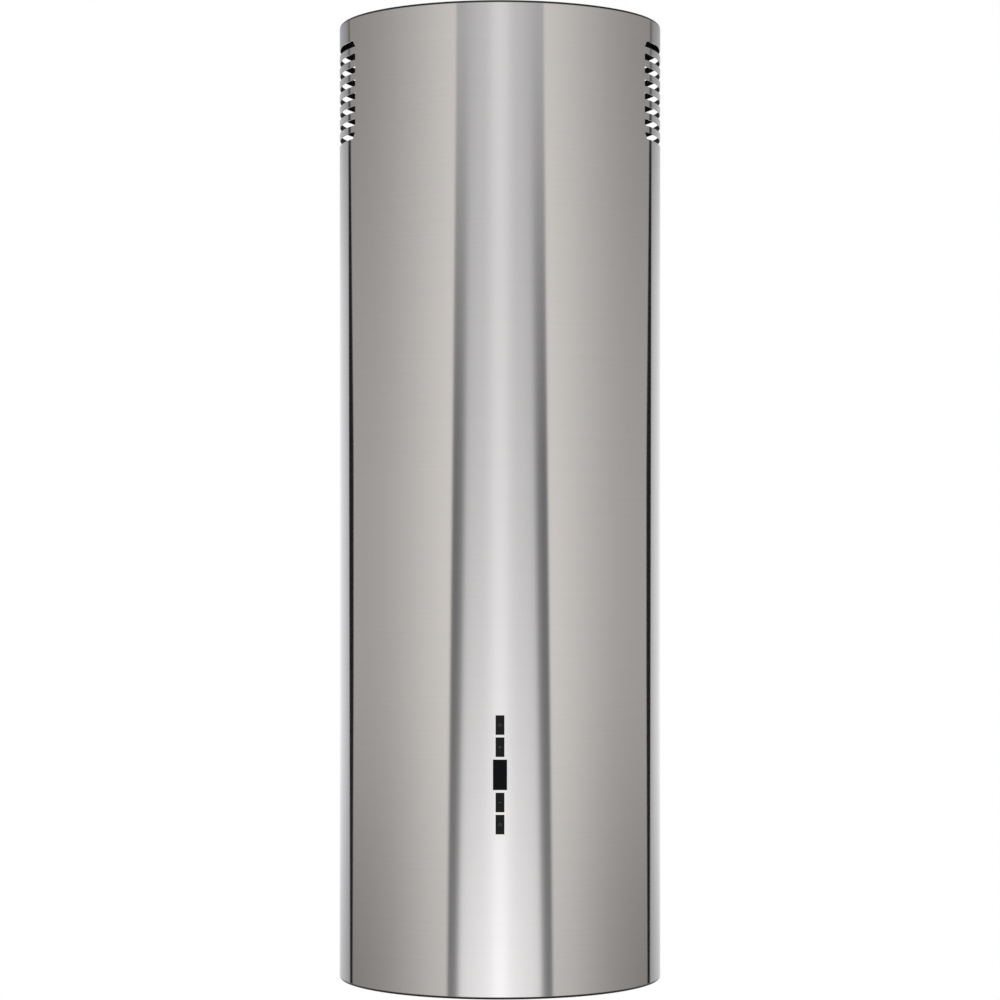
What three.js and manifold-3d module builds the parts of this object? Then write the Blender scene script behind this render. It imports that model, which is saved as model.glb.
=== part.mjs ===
// Island range hood with a cylindrical steel cover, modelled in millimetres, +Z up.
// The origin is the centre of the ceiling plane: everything hangs below z = 0. The controls face -Y.
import * as THREE from "three";
import { mergeVertices } from "three/addons/utils/BufferGeometryUtils.js";
import Module from "manifold-3d";

const wasm = await Module();
wasm.setup();

// ---------------------------------------------------------------- driving dimensions
const GAP = 0.3; // air left between pieces that touch

const TUBE_R = 185; // cover tube, outside radius
const TUBE_WALL = 1.0;
const TUBE_H = 1095;
const HEM_R = 182.5; // inside radius of the folded hems at both ends of the tube
const HEM_H = 12;
const EDGE = 0.9; // chamfer on the tube's outside edges
const TUBE_SEGMENTS = 60;

const SLOT_ROWS = 8; // ventilation slots on each side, near the top
const SLOT_TOP = 27.5; // from the tube's top edge to the first slot
const SLOT_PITCH = 14.8;
const SLOT_HEIGHT = 7.1;
const SLOT_HALF = 86.85; // half the slot group's width, measured straight across
const SLOT_CORNER = 6; // cut corners of the group's outline

const CONTROL_Z = -TUBE_H + 246.35; // centre of the display
const BUTTON_W = 9.0;
const BUTTON_H = 20.7;
const DISPLAY_W = 14.8;
const DISPLAY_H = 32.7;
const WINDOW_CLEAR = 0.2; // gap round each button and the display
const BUTTON_OFFSETS = [54.5, 30.3, -30.3, -54.5]; // button centres from the display's centre
const BUTTON_PROUD = 0.4;
const BUTTON_TRAVEL = 1.2;

const PLATE_R = 181.5; // ceiling plate
const PLATE_HOLE_R = 110;
const PLATE_T = 3;

const POST_OUT = 126; // outside faces of the upper posts, from the axis
const POST_LEG = 22;
const POST_T = 2;
const LOWER_OUT = POST_OUT - POST_T - GAP;
const UPPER_POST_END = -430;
const LOWER_POST_START = -330;
const BOLT_Z = -380;

const PANEL_LOW = -TUBE_H + 8; // underside of the bottom panel, recessed in the tube
const PANEL_T = 1.2;
const PANEL_R = 181.9;
const APERTURE = 116; // half the filter opening
const LAMP_AT = 149; // lamp centres, from the axis

const FILTER_Z = PANEL_LOW + 3.5; // middle of the filter cassette, and its pivot height
const FILTER_HALF = 114;
const FILTER_LIP = 101; // half the clear mesh area
const PIVOT_Y = 108;

const BLOWER_Y = 55.05; // impeller axis
const BLOWER_Z = -891;
const SCROLL_HALF = 77.5; // half the scroll housing's width
const SCROLL_T = 2.5;
const SCROLL_TONGUE_R = 86;
const SCROLL_END_R = 125;
const SCROLL_TOP = 150; // outlet flange above the impeller axis
const INLET_R = 66;
const IMPELLER_R = 76;
const IMPELLER_HALF = 48.5;
const BLADES = 24;
const SHAFT_R = 4;

const COLLAR_R = 74; // outside radius of the duct collar, for 150 mm duct
const COLLAR_IN = 71.5;

// ---------------------------------------------------------------- shape helpers
function solid(geometry) {
  const g = geometry.index ? geometry.toNonIndexed() : geometry.clone();
  g.deleteAttribute("normal");
  g.deleteAttribute("uv");
  const merged = mergeVertices(g, 1e-4);
  const index = merged.index.array;
  const tri = [];
  for (let i = 0; i < index.length; i += 3) {
    const [a, b, c] = [index[i], index[i + 1], index[i + 2]];
    if (a !== b && b !== c && c !== a) tri.push(a, b, c);
  }
  const make = (t) =>
    new wasm.Manifold(
      new wasm.Mesh({
        numProp: 3,
        vertProperties: new Float32Array(merged.attributes.position.array),
        triVerts: new Uint32Array(t),
      }),
    );
  let s = make(tri);
  if (s.volume() < 0) {
    for (let i = 0; i < tri.length; i += 3)
      [tri[i + 1], tri[i + 2]] = [tri[i + 2], tri[i + 1]];
    s = make(tri);
  }
  return s;
}

function geometryOf(s) {
  const m = s.getMesh();
  const n = m.numProp;
  const v = new Float32Array(m.numVert * 3);
  for (let i = 0; i < m.numVert; i++)
    v.set(m.vertProperties.subarray(i * n, i * n + 3), i * 3);
  const g = new THREE.BufferGeometry();
  g.setAttribute("position", new THREE.BufferAttribute(v, 3));
  g.setIndex(new THREE.BufferAttribute(new Uint32Array(m.triVerts), 1));
  g.computeVertexNormals();
  return g;
}

const join = (...solids) => solids.flat().reduce((a, b) => a.add(b));
const cut = (s, ...tools) => tools.flat().reduce((a, b) => a.subtract(b), s);

function box(x0, x1, y0, y1, z0, z1) {
  const g = new THREE.BoxGeometry(x1 - x0, y1 - y0, z1 - z0);
  g.translate((x0 + x1) / 2, (y0 + y1) / 2, (z0 + z1) / 2);
  return solid(g);
}

// A cylinder or prism about the line through (a, b) along one axis, from lo to hi.
function rod(axis, r, lo, hi, a = 0, b = 0, sides = 16, rTop = r) {
  const g = new THREE.CylinderGeometry(rTop, r, hi - lo, sides);
  g.translate(0, (lo + hi) / 2, 0);
  if (axis === "z") g.rotateX(Math.PI / 2).translate(a, b, 0);
  if (axis === "x") g.rotateZ(-Math.PI / 2).translate(0, a, b);
  if (axis === "y") g.translate(a, 0, b);
  return solid(g);
}

// A closed (r, h) profile turned about the Z or X axis.
function turned(profile, sides, axis = "z") {
  const pts = profile.map(([r, h]) => new THREE.Vector2(r, h));
  const onAxis = profile[0][0] === 0 && profile[profile.length - 1][0] === 0;
  if (!onAxis) pts.push(pts[0].clone());
  const g = new THREE.LatheGeometry(pts, sides);
  if (axis === "z") g.rotateX(Math.PI / 2);
  else g.rotateZ(-Math.PI / 2);
  return solid(g);
}

const BASIS = {
  x: [new THREE.Vector3(0, 1, 0), new THREE.Vector3(0, 0, 1), new THREE.Vector3(1, 0, 0)],
  y: [new THREE.Vector3(1, 0, 0), new THREE.Vector3(0, 0, 1), new THREE.Vector3(0, -1, 0)],
  z: [new THREE.Vector3(1, 0, 0), new THREE.Vector3(0, 1, 0), new THREE.Vector3(0, 0, 1)],
};
// An outline of [u, v] points pushed along an axis from lo to hi: (u, v) is (y, z) for x, (x, z) for y, (x, y) for z.
function pushed(outline, axis, lo, hi) {
  const shape = new THREE.Shape(outline.map(([u, v]) => new THREE.Vector2(u, v)));
  const g = new THREE.ExtrudeGeometry(shape, { depth: hi - lo, bevelEnabled: false, steps: 1 });
  const [u, v, w] = BASIS[axis];
  g.applyMatrix4(new THREE.Matrix4().makeBasis(u, v, w));
  const start = axis === "y" ? hi : lo;
  g.translate(axis === "x" ? start : 0, axis === "y" ? start : 0, axis === "z" ? start : 0);
  return solid(g);
}

function spun(s, axis, degrees) {
  const g = geometryOf(s);
  const a = THREE.MathUtils.degToRad(degrees);
  if (axis === "z") g.rotateZ(a);
  if (axis === "x") g.rotateX(a);
  if (axis === "y") g.rotateY(a);
  return solid(g);
}

function roundedSquare(half, r, n = 4, halfY = half) {
  const pts = [];
  for (const [sx, sy, a0] of [[1, 1, 0], [-1, 1, 90], [-1, -1, 180], [1, -1, 270]])
    for (let i = 0; i <= n; i++) {
      const a = THREE.MathUtils.degToRad(a0 + (90 * i) / n);
      pts.push([sx * (half - r) + r * Math.cos(a), sy * (halfY - r) + r * Math.sin(a)]);
    }
  return pts;
}

// ---------------------------------------------------------------- materials
const finish = (hex, roughness, metalness, more = {}) =>
  new THREE.MeshStandardMaterial({ color: hex, roughness, metalness, ...more });
const MATERIAL = {
  brushed_steel: finish(0xb9b8b5, 0.3, 1.0),
  galvanised: finish(0x9a9fa3, 0.5, 1.0),
  aluminium: finish(0xc8cacc, 0.42, 1.0),
  chrome: finish(0xd4d6d8, 0.12, 1.0),
  black_plastic: finish(0x141415, 0.42, 0.0),
  grey_plastic: finish(0x55585b, 0.55, 0.0),
  light_plastic: finish(0xd5d6d2, 0.5, 0.0),
  display: finish(0x060607, 0.06, 0.0),
  lens: finish(0xf2f1ea, 0.35, 0.0),
  board: finish(0x1f5a35, 0.5, 0.0),
  spring_steel: finish(0x8c8f92, 0.3, 1.0),
  painted: finish(0x1c1d1f, 0.5, 0.2),
};

const hood = new THREE.Group();
const groups = {};
for (const [name, at] of Object.entries({
  frame: [0, 0, 0],
  cover: [0, 0, 0],
  controls: [0, -TUBE_R, CONTROL_Z],
  blower: [0, BLOWER_Y, BLOWER_Z],
  outlet: [0, 0, BLOWER_Z + SCROLL_TOP],
  electrics: [0, 0, BLOWER_Z + SCROLL_TOP],
  lamps: [0, 0, PANEL_LOW],
  filter: [0, 0, FILTER_Z],
})) {
  const g = new THREE.Group();
  g.position.set(...at);
  hood.add(g);
  groups[name] = g;
}

// Adds a piece, built in its group's frame, as a mesh whose own origin is at the given point.
function piece(group, name, s, material, at = [0, 0, 0]) {
  const g = geometryOf(s);
  g.translate(-at[0], -at[1], -at[2]);
  const mesh = new THREE.Mesh(g, MATERIAL[material]);
  mesh.name = name;
  mesh.position.set(...at);
  groups[group].add(mesh);
  return mesh;
}

// ---------------------------------------------------------------- ceiling frame
{
  const slots = [0, 90, 180, 270].map((a) => {
    const oval = join(
      box(-6, 6, 146, 154, -PLATE_T - 1, 1),
      rod("z", 4.1, -PLATE_T - 1, 1, -6, 150, 8),
      rod("z", 4.1, -PLATE_T - 1, 1, 6, 150, 8),
    );
    return spun(oval, "z", a);
  });
  const plate = cut(
    turned([[PLATE_HOLE_R, -PLATE_T], [PLATE_R, -PLATE_T], [PLATE_R, 0], [PLATE_HOLE_R, 0]], 40),
    slots,
  );
  piece("frame", "ceiling_plate", plate, "galvanised");

  const angle = (out) => [
    [out, out],
    [out - POST_LEG, out],
    [out - POST_LEG, out - POST_T],
    [out - POST_T, out - POST_T],
    [out - POST_T, out - POST_LEG],
    [out, out - POST_LEG],
  ];
  const corner = { rr: 0, rl: 90, fl: 180, fr: 270 };
  for (const [name, turn] of Object.entries(corner)) {
    const boltAt = POST_OUT - POST_LEG / 2 - 2;
    const upper = cut(
      join(
        pushed(angle(POST_OUT), "z", UPPER_POST_END, -PLATE_T - GAP),
        box(POST_OUT - POST_LEG, POST_OUT - 1, POST_OUT - POST_LEG, POST_OUT - 1, -PLATE_T - GAP - 2, -PLATE_T - GAP),
      ),
      rod("x", 2.9, POST_OUT - 5, POST_OUT + 1, boltAt, BOLT_Z, 8),
      rod("x", 2.9, POST_OUT - 5, POST_OUT + 1, boltAt, BOLT_Z - 25, 8),
      rod("x", 2.9, POST_OUT - 5, POST_OUT + 1, boltAt, BOLT_Z + 25, 8),
    );
    piece("frame", "upper_post_" + name, spun(upper, "z", turn), "galvanised", [0, 0, -PLATE_T]);

    const lower = cut(
      join(
        pushed(angle(LOWER_OUT), "z", PANEL_LOW + PANEL_T + GAP, LOWER_POST_START),
        box(LOWER_OUT - 1, LOWER_OUT + 9.3, LOWER_OUT - POST_LEG, LOWER_OUT - 6, PANEL_LOW + PANEL_T + GAP, PANEL_LOW + PANEL_T + GAP + 2),
        rod("x", 5, LOWER_OUT - POST_T - 4, LOWER_OUT - 1, boltAt, BOLT_Z, 12),
      ),
      rod("x", 2.9, LOWER_OUT - 8, LOWER_OUT + 1, boltAt, BOLT_Z, 8),
      rod("x", 2.9, LOWER_OUT - 8, LOWER_OUT + 1, boltAt, BOLT_Z + 25, 8),
    );
    piece("frame", "lower_post_" + name, spun(lower, "z", turn), "galvanised", [0, 0, LOWER_POST_START]);

    const bolt = join(
      rod("x", 2.3, LOWER_OUT - POST_T - 5.5, POST_OUT + GAP + 0.5, boltAt, BOLT_Z, 8),
      rod("x", 4.6, POST_OUT + GAP, POST_OUT + GAP + 3.4, boltAt, BOLT_Z, 6),
    );
    piece("frame", "post_bolt_" + name, spun(bolt, "z", turn), "chrome", [0, 0, BOLT_Z]);
  }

  // The blower hangs from this tray, which fits inside the four lower posts.
  const top = BLOWER_Z + SCROLL_TOP + GAP;
  const side = LOWER_OUT - POST_T - GAP;
  const deck = cut(
    box(-side, side, -side, side, top - 20, top + 1.5),
    box(-side + 1.5, side - 1.5, -side + 1.5, side - 1.5, top - 21, top),
    box(-74, 74, -69, 69, top - 1, top + 3),
    rod("z", 7, top - 1, top + 3, -100, -60, 12),
    rod("z", 7, top - 1, top + 3, 100, 60, 12),
  );
  piece("frame", "blower_deck", deck, "galvanised", [0, 0, top]);
}

// ---------------------------------------------------------------- cover
{
  const ri = TUBE_R - TUBE_WALL;
  const shell = turned(
    [
      [TUBE_R - EDGE, -TUBE_H],
      [TUBE_R, -TUBE_H + EDGE],
      [TUBE_R, -EDGE],
      [TUBE_R - EDGE, 0],
      [HEM_R, 0],
      [HEM_R, -HEM_H],
      [ri, -HEM_H - 1.5],
      [ri, -TUBE_H + HEM_H + 1.5],
      [HEM_R, -TUBE_H + HEM_H],
      [HEM_R, -TUBE_H],
    ],
    TUBE_SEGMENTS,
  );
  const tools = [];
  for (let k = 0; k < SLOT_ROWS; k++) {
    const hi = -SLOT_TOP - k * SLOT_PITCH;
    const lo = hi - SLOT_HEIGHT;
    const a = SLOT_HALF - (k === 0 ? SLOT_CORNER : 0);
    const b = SLOT_HALF - (k === SLOT_ROWS - 1 ? SLOT_CORNER : 0);
    const outline = [[-a, hi], [-b, lo], [b, lo], [a, hi]];
    tools.push(pushed(outline, "x", 140, 200), pushed(outline, "x", -200, -140));
  }
  for (const dz of BUTTON_OFFSETS) {
    const w = BUTTON_W / 2 + WINDOW_CLEAR;
    const h = BUTTON_H / 2 + WINDOW_CLEAR;
    tools.push(box(-w, w, -200, -170, CONTROL_Z + dz - h, CONTROL_Z + dz + h));
  }
  const w = DISPLAY_W / 2 + WINDOW_CLEAR;
  const h = DISPLAY_H / 2 + WINDOW_CLEAR;
  tools.push(box(-w, w, -200, -170, CONTROL_Z - h, CONTROL_Z + h));
  piece("cover", "outer_tube", cut(shell, tools), "brushed_steel", [0, 0, -TUBE_H / 2]);

  const top = PANEL_LOW + PANEL_T;
  const disc = turned(
    [
      [0, PANEL_LOW],
      [PANEL_R, PANEL_LOW],
      [PANEL_R, PANEL_LOW + 22],
      [PANEL_R - PANEL_T, PANEL_LOW + 22],
      [PANEL_R - PANEL_T, top],
      [0, top],
    ],
    40,
  );
  const ears = [-1, 1].map((s) =>
    box(Math.min(s * 117.5, s * 119.5), Math.max(s * 117.5, s * 119.5), PIVOT_Y - 7, PIVOT_Y + 7, top - 0.6, FILTER_Z + 6),
  );
  const panel = cut(
    join(disc, ears),
    pushed(roundedSquare(APERTURE, 3, 2), "z", PANEL_LOW - 1, top + 0.001),
    [0, 90, 180, 270].map((a) => spun(rod("z", 27, PANEL_LOW - 1, top + 1, 0, LAMP_AT, 24), "z", a)),
    rod("x", 2.35, -125, 125, PIVOT_Y, FILTER_Z, 16),
  );
  piece("cover", "bottom_panel", panel, "brushed_steel", [0, 0, PANEL_LOW]);
}

// ---------------------------------------------------------------- controls
{
  const cavity = 10.5;
  const housing = cut(
    join(
      box(-12, 12, 2.0, 17, -76, 76),
      box(-8, 8, 2.4, 4.4, -86, 86),
    ),
    box(-cavity, cavity, 0, 15.4, -74.4, 74.4),
    rod("y", 2.2, 0, 6, 0, -81, 12),
    rod("y", 2.2, 0, 6, 0, 81, 12),
    box(-4, 4, 14, 18, 62, 70),
  );
  piece("controls", "control_housing", housing, "black_plastic", [0, 9, 0]);

  const board = join(
    box(-9.8, 9.8, 11.8, 13.4, -73, 73),
    box(-6.8, 6.8, 4.6, 11.9, -15.2, 15.2),
    BUTTON_OFFSETS.map((dz) =>
      join(box(-3, 3, 8.6, 11.9, dz - 3, dz + 3), rod("y", 1.6, 7.6, 8.8, 0, dz, 10)),
    ),
    box(-3.4, 3.4, 8, 11.9, 64, 71),
  );
  piece("controls", "control_board", board, "board", [0, 12, 0]);

  const window_ = join(
    box(-DISPLAY_W / 2, DISPLAY_W / 2, -0.1, 2.2, -DISPLAY_H / 2, DISPLAY_H / 2),
    box(-8.6, 8.6, 1.7, 3.0, -17.6, 17.6),
  );
  piece("controls", "display_window", window_, "display");

  const names = ["button_light", "button_plus", "button_minus", "button_timer"];
  BUTTON_OFFSETS.forEach((dz, i) => {
    const w = BUTTON_W / 2;
    const h = BUTTON_H / 2;
    const face = [
      [-w, 2.2],
      [-w, -BUTTON_PROUD + 0.5],
      [-w + 0.5, -BUTTON_PROUD],
      [w - 0.5, -BUTTON_PROUD],
      [w, -BUTTON_PROUD + 0.5],
      [w, 2.2],
    ];
    const cap = join(
      pushed(face, "z", dz - h, dz + h),
      box(-5.5, 5.5, 1.6, 2.8, dz - 11.3, dz + 11.3),
      box(-2, 2, 2.7, 6.1, dz - 2, dz + 2),
    );
    piece("controls", names[i], cap, "black_plastic", [0, 0, dz]);
  });
}

// ---------------------------------------------------------------- blower
{
  const wallY = SCROLL_TONGUE_R * Math.cos(THREE.MathUtils.degToRad(80));
  const scroll = (off, top) => {
    const pts = [[wallY + off, top]];
    const start = Math.acos((wallY + off) / (SCROLL_TONGUE_R + off));
    const steps = 26;
    for (let i = 0; i <= steps; i++) {
      const a = start + ((-Math.PI - start) * i) / steps;
      const share = (THREE.MathUtils.degToRad(80) - a) / (THREE.MathUtils.degToRad(80) + Math.PI);
      const r = SCROLL_TONGUE_R + off + (SCROLL_END_R - SCROLL_TONGUE_R) * Math.max(0, share);
      pts.push([r * Math.cos(a), r * Math.sin(a)]);
    }
    pts.push([-(SCROLL_END_R + off), top]);
    return pts;
  };
  const half = (s) => {
    const lo = s < 0 ? -SCROLL_HALF : GAP / 2;
    const hi = s < 0 ? -GAP / 2 : SCROLL_HALF;
    const inLo = s < 0 ? -SCROLL_HALF + SCROLL_T : -1;
    const inHi = s < 0 ? 1 : SCROLL_HALF - SCROLL_T;
    const flangeX = s < 0 ? [-SCROLL_HALF - 8, -GAP / 2] : [GAP / 2, SCROLL_HALF + 8];
    return cut(
      join(
        pushed(scroll(SCROLL_T, SCROLL_TOP), "x", lo, hi),
        box(flangeX[0], flangeX[1], -SCROLL_END_R - 10, wallY + 10, SCROLL_TOP - SCROLL_T, SCROLL_TOP),
      ),
      pushed(scroll(0, SCROLL_TOP + 1), "x", inLo, inHi),
      rod("x", INLET_R, s < 0 ? -SCROLL_HALF - 1 : 70, s < 0 ? -70 : SCROLL_HALF + 1, 0, 0, 36),
    );
  };
  piece("blower", "scroll_left", half(-1), "grey_plastic");
  piece("blower", "scroll_right", half(1), "grey_plastic");

  const arm = (a) => spun(box(-82, -77.8, -4.5, 4.5, 46, 69), "x", a);
  const bracket = join(
    turned([[67, -82], [74, -82], [74, -77.8], [67, -77.8]], 24, "x"),
    turned([[43, -82], [47.5, -82], [47.5, -72], [43, -72]], 24, "x"),
    arm(0),
    arm(90),
    arm(180),
    arm(270),
  );
  piece("blower", "motor_bracket", bracket, "black_plastic", [-80, 0, 0]);

  const casing = turned(
    [
      [0, -90],
      [34, -90],
      [42, -84],
      [42, -22],
      [34, -16],
      [12, -16],
      [12, -11],
      [SHAFT_R + 0.5, -11],
      [SHAFT_R + 0.5, -84],
      [0, -84],
    ],
    24,
    "x",
  );
  piece("blower", "motor_casing", casing, "aluminium", [-50, 0, 0]);

  const spoke = (a) => spun(box(77.8, 80.2, -2.2, 2.2, 14, 69), "x", a);
  const ring = (r0, r1) => turned([[r0, 77.8], [r1, 77.8], [r1, 80.2], [r0, 80.2]], 24, "x");
  const guard = join(
    ring(67, 74),
    ring(52, 54.5),
    ring(37, 39.5),
    turned([[0, 77.8], [16, 77.8], [16, 80.2], [0, 80.2]], 16, "x"),
    spoke(7.5),
    spoke(127.5),
    spoke(247.5),
  );
  piece("blower", "inlet_guard", guard, "black_plastic", [79, 0, 0]);

  const blade = (a) => {
    const pts = [];
    const at = (r, t, off) => {
      const ang = THREE.MathUtils.degToRad(t);
      return [(r + 0) * Math.cos(ang) - off * Math.sin(ang), r * Math.sin(ang) + off * Math.cos(ang)];
    };
    for (const [r, t] of [[65.2, 0], [75.2, 4]]) pts.push(at(r, t, 0));
    for (const [r, t] of [[75.2, 4], [65.2, 0]]) pts.push(at(r, t, 1.6));
    return spun(pushed(pts, "x", -47, 47), "x", a);
  };
  const end = (x0, x1) => turned([[64.6, x0], [IMPELLER_R, x0], [IMPELLER_R, x1], [64.6, x1]], 24, "x");
  const wheel = join(
    turned(
      [
        [SHAFT_R + GAP, -8],
        [14, -8],
        [16, -1.5],
        [74, -1.5],
        [74, 1.5],
        [16, 1.5],
        [14, 8],
        [SHAFT_R + GAP, 8],
      ],
      24,
      "x",
    ),
    end(-IMPELLER_HALF, -46.5),
    end(46.5, IMPELLER_HALF),
    Array.from({ length: BLADES }, (_, i) => blade((360 * i) / BLADES)),
  );
  piece("blower", "impeller", wheel, "black_plastic");
  piece("blower", "motor_shaft", rod("x", SHAFT_R, -83.5, 18, 0, 0, 16), "chrome", [-30, 0, 0]);
}

// ---------------------------------------------------------------- duct collar and its two damper flaps
{
  const base = GAP + 1.5 + GAP; // on the deck
  const pinZ = base + 15;
  const collar = cut(
    join(
      box(-88, 88, -82, 82, base, base + 2.5),
      turned([[COLLAR_IN, base], [COLLAR_R, base], [COLLAR_R, base + 60], [COLLAR_IN, base + 60]], 32),
    ),
    rod("z", COLLAR_IN, base - 1, base + 10, 0, 0, 32),
    rod("x", 1.9, -80, 80, 0, pinZ, 12),
  );
  piece("outlet", "outlet_collar", collar, "black_plastic", [0, 0, base]);
  piece("outlet", "damper_pin", rod("x", 1.5, -75, 75, 0, pinZ, 12), "chrome", [0, 0, pinZ]);

  const flap = (s, spans) => {
    const outline = [];
    const r = 69.3;
    const edge = 4.4;
    const a0 = Math.asin(edge / r);
    for (let i = 0; i <= 14; i++) {
      const a = a0 + ((Math.PI - 2 * a0) * i) / 14;
      outline.push([r * Math.cos(a), s * r * Math.sin(a)]);
    }
    return cut(
      join(
        pushed(outline, "z", pinZ - 0.75, pinZ + 0.75),
        spans.map(([x0, x1]) =>
          join(
            rod("x", 3.6, x0, x1, 0, pinZ, 10),
            box(x0, x1, s < 0 ? -6 : 0, s < 0 ? 0 : 6, pinZ - 0.75, pinZ + 0.75),
          ),
        ),
      ),
      rod("x", 1.9, -80, 80, 0, pinZ, 10),
    );
  };
  piece("outlet", "damper_flap_front", flap(-1, [[-42, -26], [26, 42]]), "black_plastic", [0, 0, pinZ]);
  piece("outlet", "damper_flap_rear", flap(1, [[-62, -46], [-8, 8], [46, 62]]), "black_plastic", [0, 0, pinZ]);
}

// ---------------------------------------------------------------- electrics, standing on the blower deck
{
  const base = GAP + 1.5 + GAP;
  const shell = cut(
    box(-60, 60, -119.5, -86, base, base + 104),
    box(-58, 58, -121, -88, base + 2, base + 102),
    rod("z", 6.2, base + 100, base + 106, 40, -102, 12),
  );
  piece("electrics", "electronics_box", shell, "grey_plastic", [0, -102, base + 52]);
  const lid = join(
    box(-60, 60, -121.8, -119.8, base, base + 104),
    box(-57.6, 57.6, -120, -117, base + 2.4, base + 4.4),
    box(-57.6, 57.6, -120, -117, base + 99.6, base + 101.6),
  );
  piece("electrics", "electronics_cover", lid, "grey_plastic", [0, -121, base + 52]);
  const gland = cut(
    join(
      rod("z", 5.9, base + 99, base + 106, 40, -102, 12),
      rod("z", 10, base + 104 + GAP, base + 111, 40, -102, 6),
      rod("z", 7.5, base + 110, base + 120, 40, -102, 16, 6.2),
    ),
    rod("z", 4, base + 90, base + 130, 40, -102, 12),
  );
  piece("electrics", "mains_gland", gland, "black_plastic", [40, -102, base + 104]);
  const driver = join(
    box(-45, 45, 88, 116, base, base + 24),
    box(-54, -44, 92, 112, base, base + 2),
    box(44, 54, 92, 112, base, base + 2),
  );
  piece("electrics", "led_driver", driver, "light_plastic", [0, 102, base]);
  const capacitor = join(
    rod("y", 14, -34, 34, 104, base + 14.4, 20),
    rod("y", 9, 33, 40, 104, base + 14.4, 16),
  );
  piece("electrics", "motor_capacitor", capacitor, "light_plastic", [104, 0, base + 14.4]);
}

// ---------------------------------------------------------------- four lamps in the bottom panel
{
  const where = { front: [0, -LAMP_AT], right: [LAMP_AT, 0], rear: [0, LAMP_AT], left: [-LAMP_AT, 0] };
  for (const [name, [x, y]] of Object.entries(where)) {
    const place = (s) => {
      const g = geometryOf(s);
      g.translate(x, y, 0);
      return solid(g);
    };
    const bezel = turned(
      [
        [22, -2.2],
        [28.6, -2.2],
        [29.8, -1.2],
        [29.8, -GAP],
        [26.6, -GAP],
        [26.6, 18],
        [24.8, 18],
        [24.8, -0.4],
        [22, -0.4],
      ],
      24,
    );
    const lens = turned([[0, -0.1], [24.3, -0.1], [24.3, 2.6], [0, 2.6]], 24);
    const body = turned([[0, 3], [24.3, 3], [24.3, 26], [20, 30], [8, 30], [8, 36], [0, 36]], 20);
    piece("lamps", "lamp_bezel_" + name, place(bezel), "chrome", [x, y, 0]);
    piece("lamps", "lamp_lens_" + name, place(lens), "lens", [x, y, 0]);
    piece("lamps", "lamp_body_" + name, place(body), "aluminium", [x, y, 3]);
  }
}

// ---------------------------------------------------------------- grease filter cassette
{
  const H = FILTER_HALF;
  const pocket = [-35, 35, -H, -71];
  const rim = cut(
    box(-H, H, -H, H, -5, 5),
    box(-FILTER_LIP, FILTER_LIP, -FILTER_LIP, FILTER_LIP, -6, 6),
    box(-H + 1.5, H - 1.5, -H + 1.5, H - 1.5, -4.2, 4.2),
  );
  const frame = cut(
    join(
      rim,
      box(...pocket, -5, 5),
      box(-H, -H + 9, PIVOT_Y - 5, H, -5, 5),
      box(H - 9, H, PIVOT_Y - 5, H, -5, 5),
    ),
    box(-20.5, 20.5, -H - 1, -84.2, 0.3, 2.9), // tongue slideway
    box(-12.6, 12.6, -99.2, -88.8, -6, 1), // window for the handle's legs
    box(-3.4, 3.4, -93, -79.8, -1.6, 4.4), // spring pocket
    rod("x", 2.35, -H - 1, -H + 7, PIVOT_Y, 0, 16),
    rod("x", 2.35, H - 7, H + 1, PIVOT_Y, 0, 16),
  );
  piece("filter", "filter_frame", frame, "aluminium");

  const sheet = (z0, z1) =>
    cut(
      box(-H + 1.8, H - 1.8, -H + 1.8, H - 1.8, z0, z1),
      box(-35.3, 35.3, -H, -70.7, z0 - 1, z1 + 1),
      box(-H, -H + 9.3, PIVOT_Y - 5.3, H, z0 - 1, z1 + 1),
      box(H - 9.3, H, PIVOT_Y - 5.3, H, z0 - 1, z1 + 1),
    );
  piece("filter", "filter_face_mesh", sheet(-3.9, -3.1), "aluminium", [0, 0, -3.5]);
  piece("filter", "filter_core", sheet(-2.8, 2.8), "aluminium");
  piece("filter", "filter_back_mesh", sheet(3.1, 3.9), "aluminium", [0, 0, 3.5]);

  const latch = join(
    box(-20, 20, -H - 5.2, -92.4, 0.6, 2.6),
    box(-12, -6, -98.6, -95.2, -6.5, 1),
    box(6, 12, -98.6, -95.2, -6.5, 1),
    box(-28, 28, -100, -80, -7.6, -5.4),
    box(-28, 28, -82, -80, -10.6, -5.4),
  );
  piece("filter", "filter_latch", latch, "chrome", [0, -90, -5]);

  const turns = 5;
  const path = new THREE.CatmullRomCurve3(
    Array.from({ length: turns * 8 + 1 }, (_, i) => {
      const a = (i / 8) * 2 * Math.PI;
      return new THREE.Vector3(1.9 * Math.cos(a), -92.0 + 0.4 + (11.0 * i) / (turns * 8), 1.4 + 1.9 * Math.sin(a));
    }),
  );
  const wire = new THREE.Shape(
    Array.from({ length: 4 }, (_, i) => new THREE.Vector2(0.36 * Math.cos((i * Math.PI) / 2), 0.36 * Math.sin((i * Math.PI) / 2))),
  );
  piece(
    "filter",
    "latch_spring",
    solid(new THREE.ExtrudeGeometry(wire, { steps: turns * 8, bevelEnabled: false, extrudePath: path })),
    "spring_steel",
    [0, -86, 1.4],
  );

  piece("filter", "filter_pivot_pin_left", rod("x", 2, -121.2, -H + 6.6, PIVOT_Y, 0, 16), "chrome", [-114, PIVOT_Y, 0]);
  piece("filter", "filter_pivot_pin_right", rod("x", 2, H - 6.6, 121.2, PIVOT_Y, 0, 16), "chrome", [114, PIVOT_Y, 0]);
}

export default hood;
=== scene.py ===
import math

import bmesh
import bpy
from mathutils import Matrix, Vector
from mathutils.geometry import delaunay_2d_cdt


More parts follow.
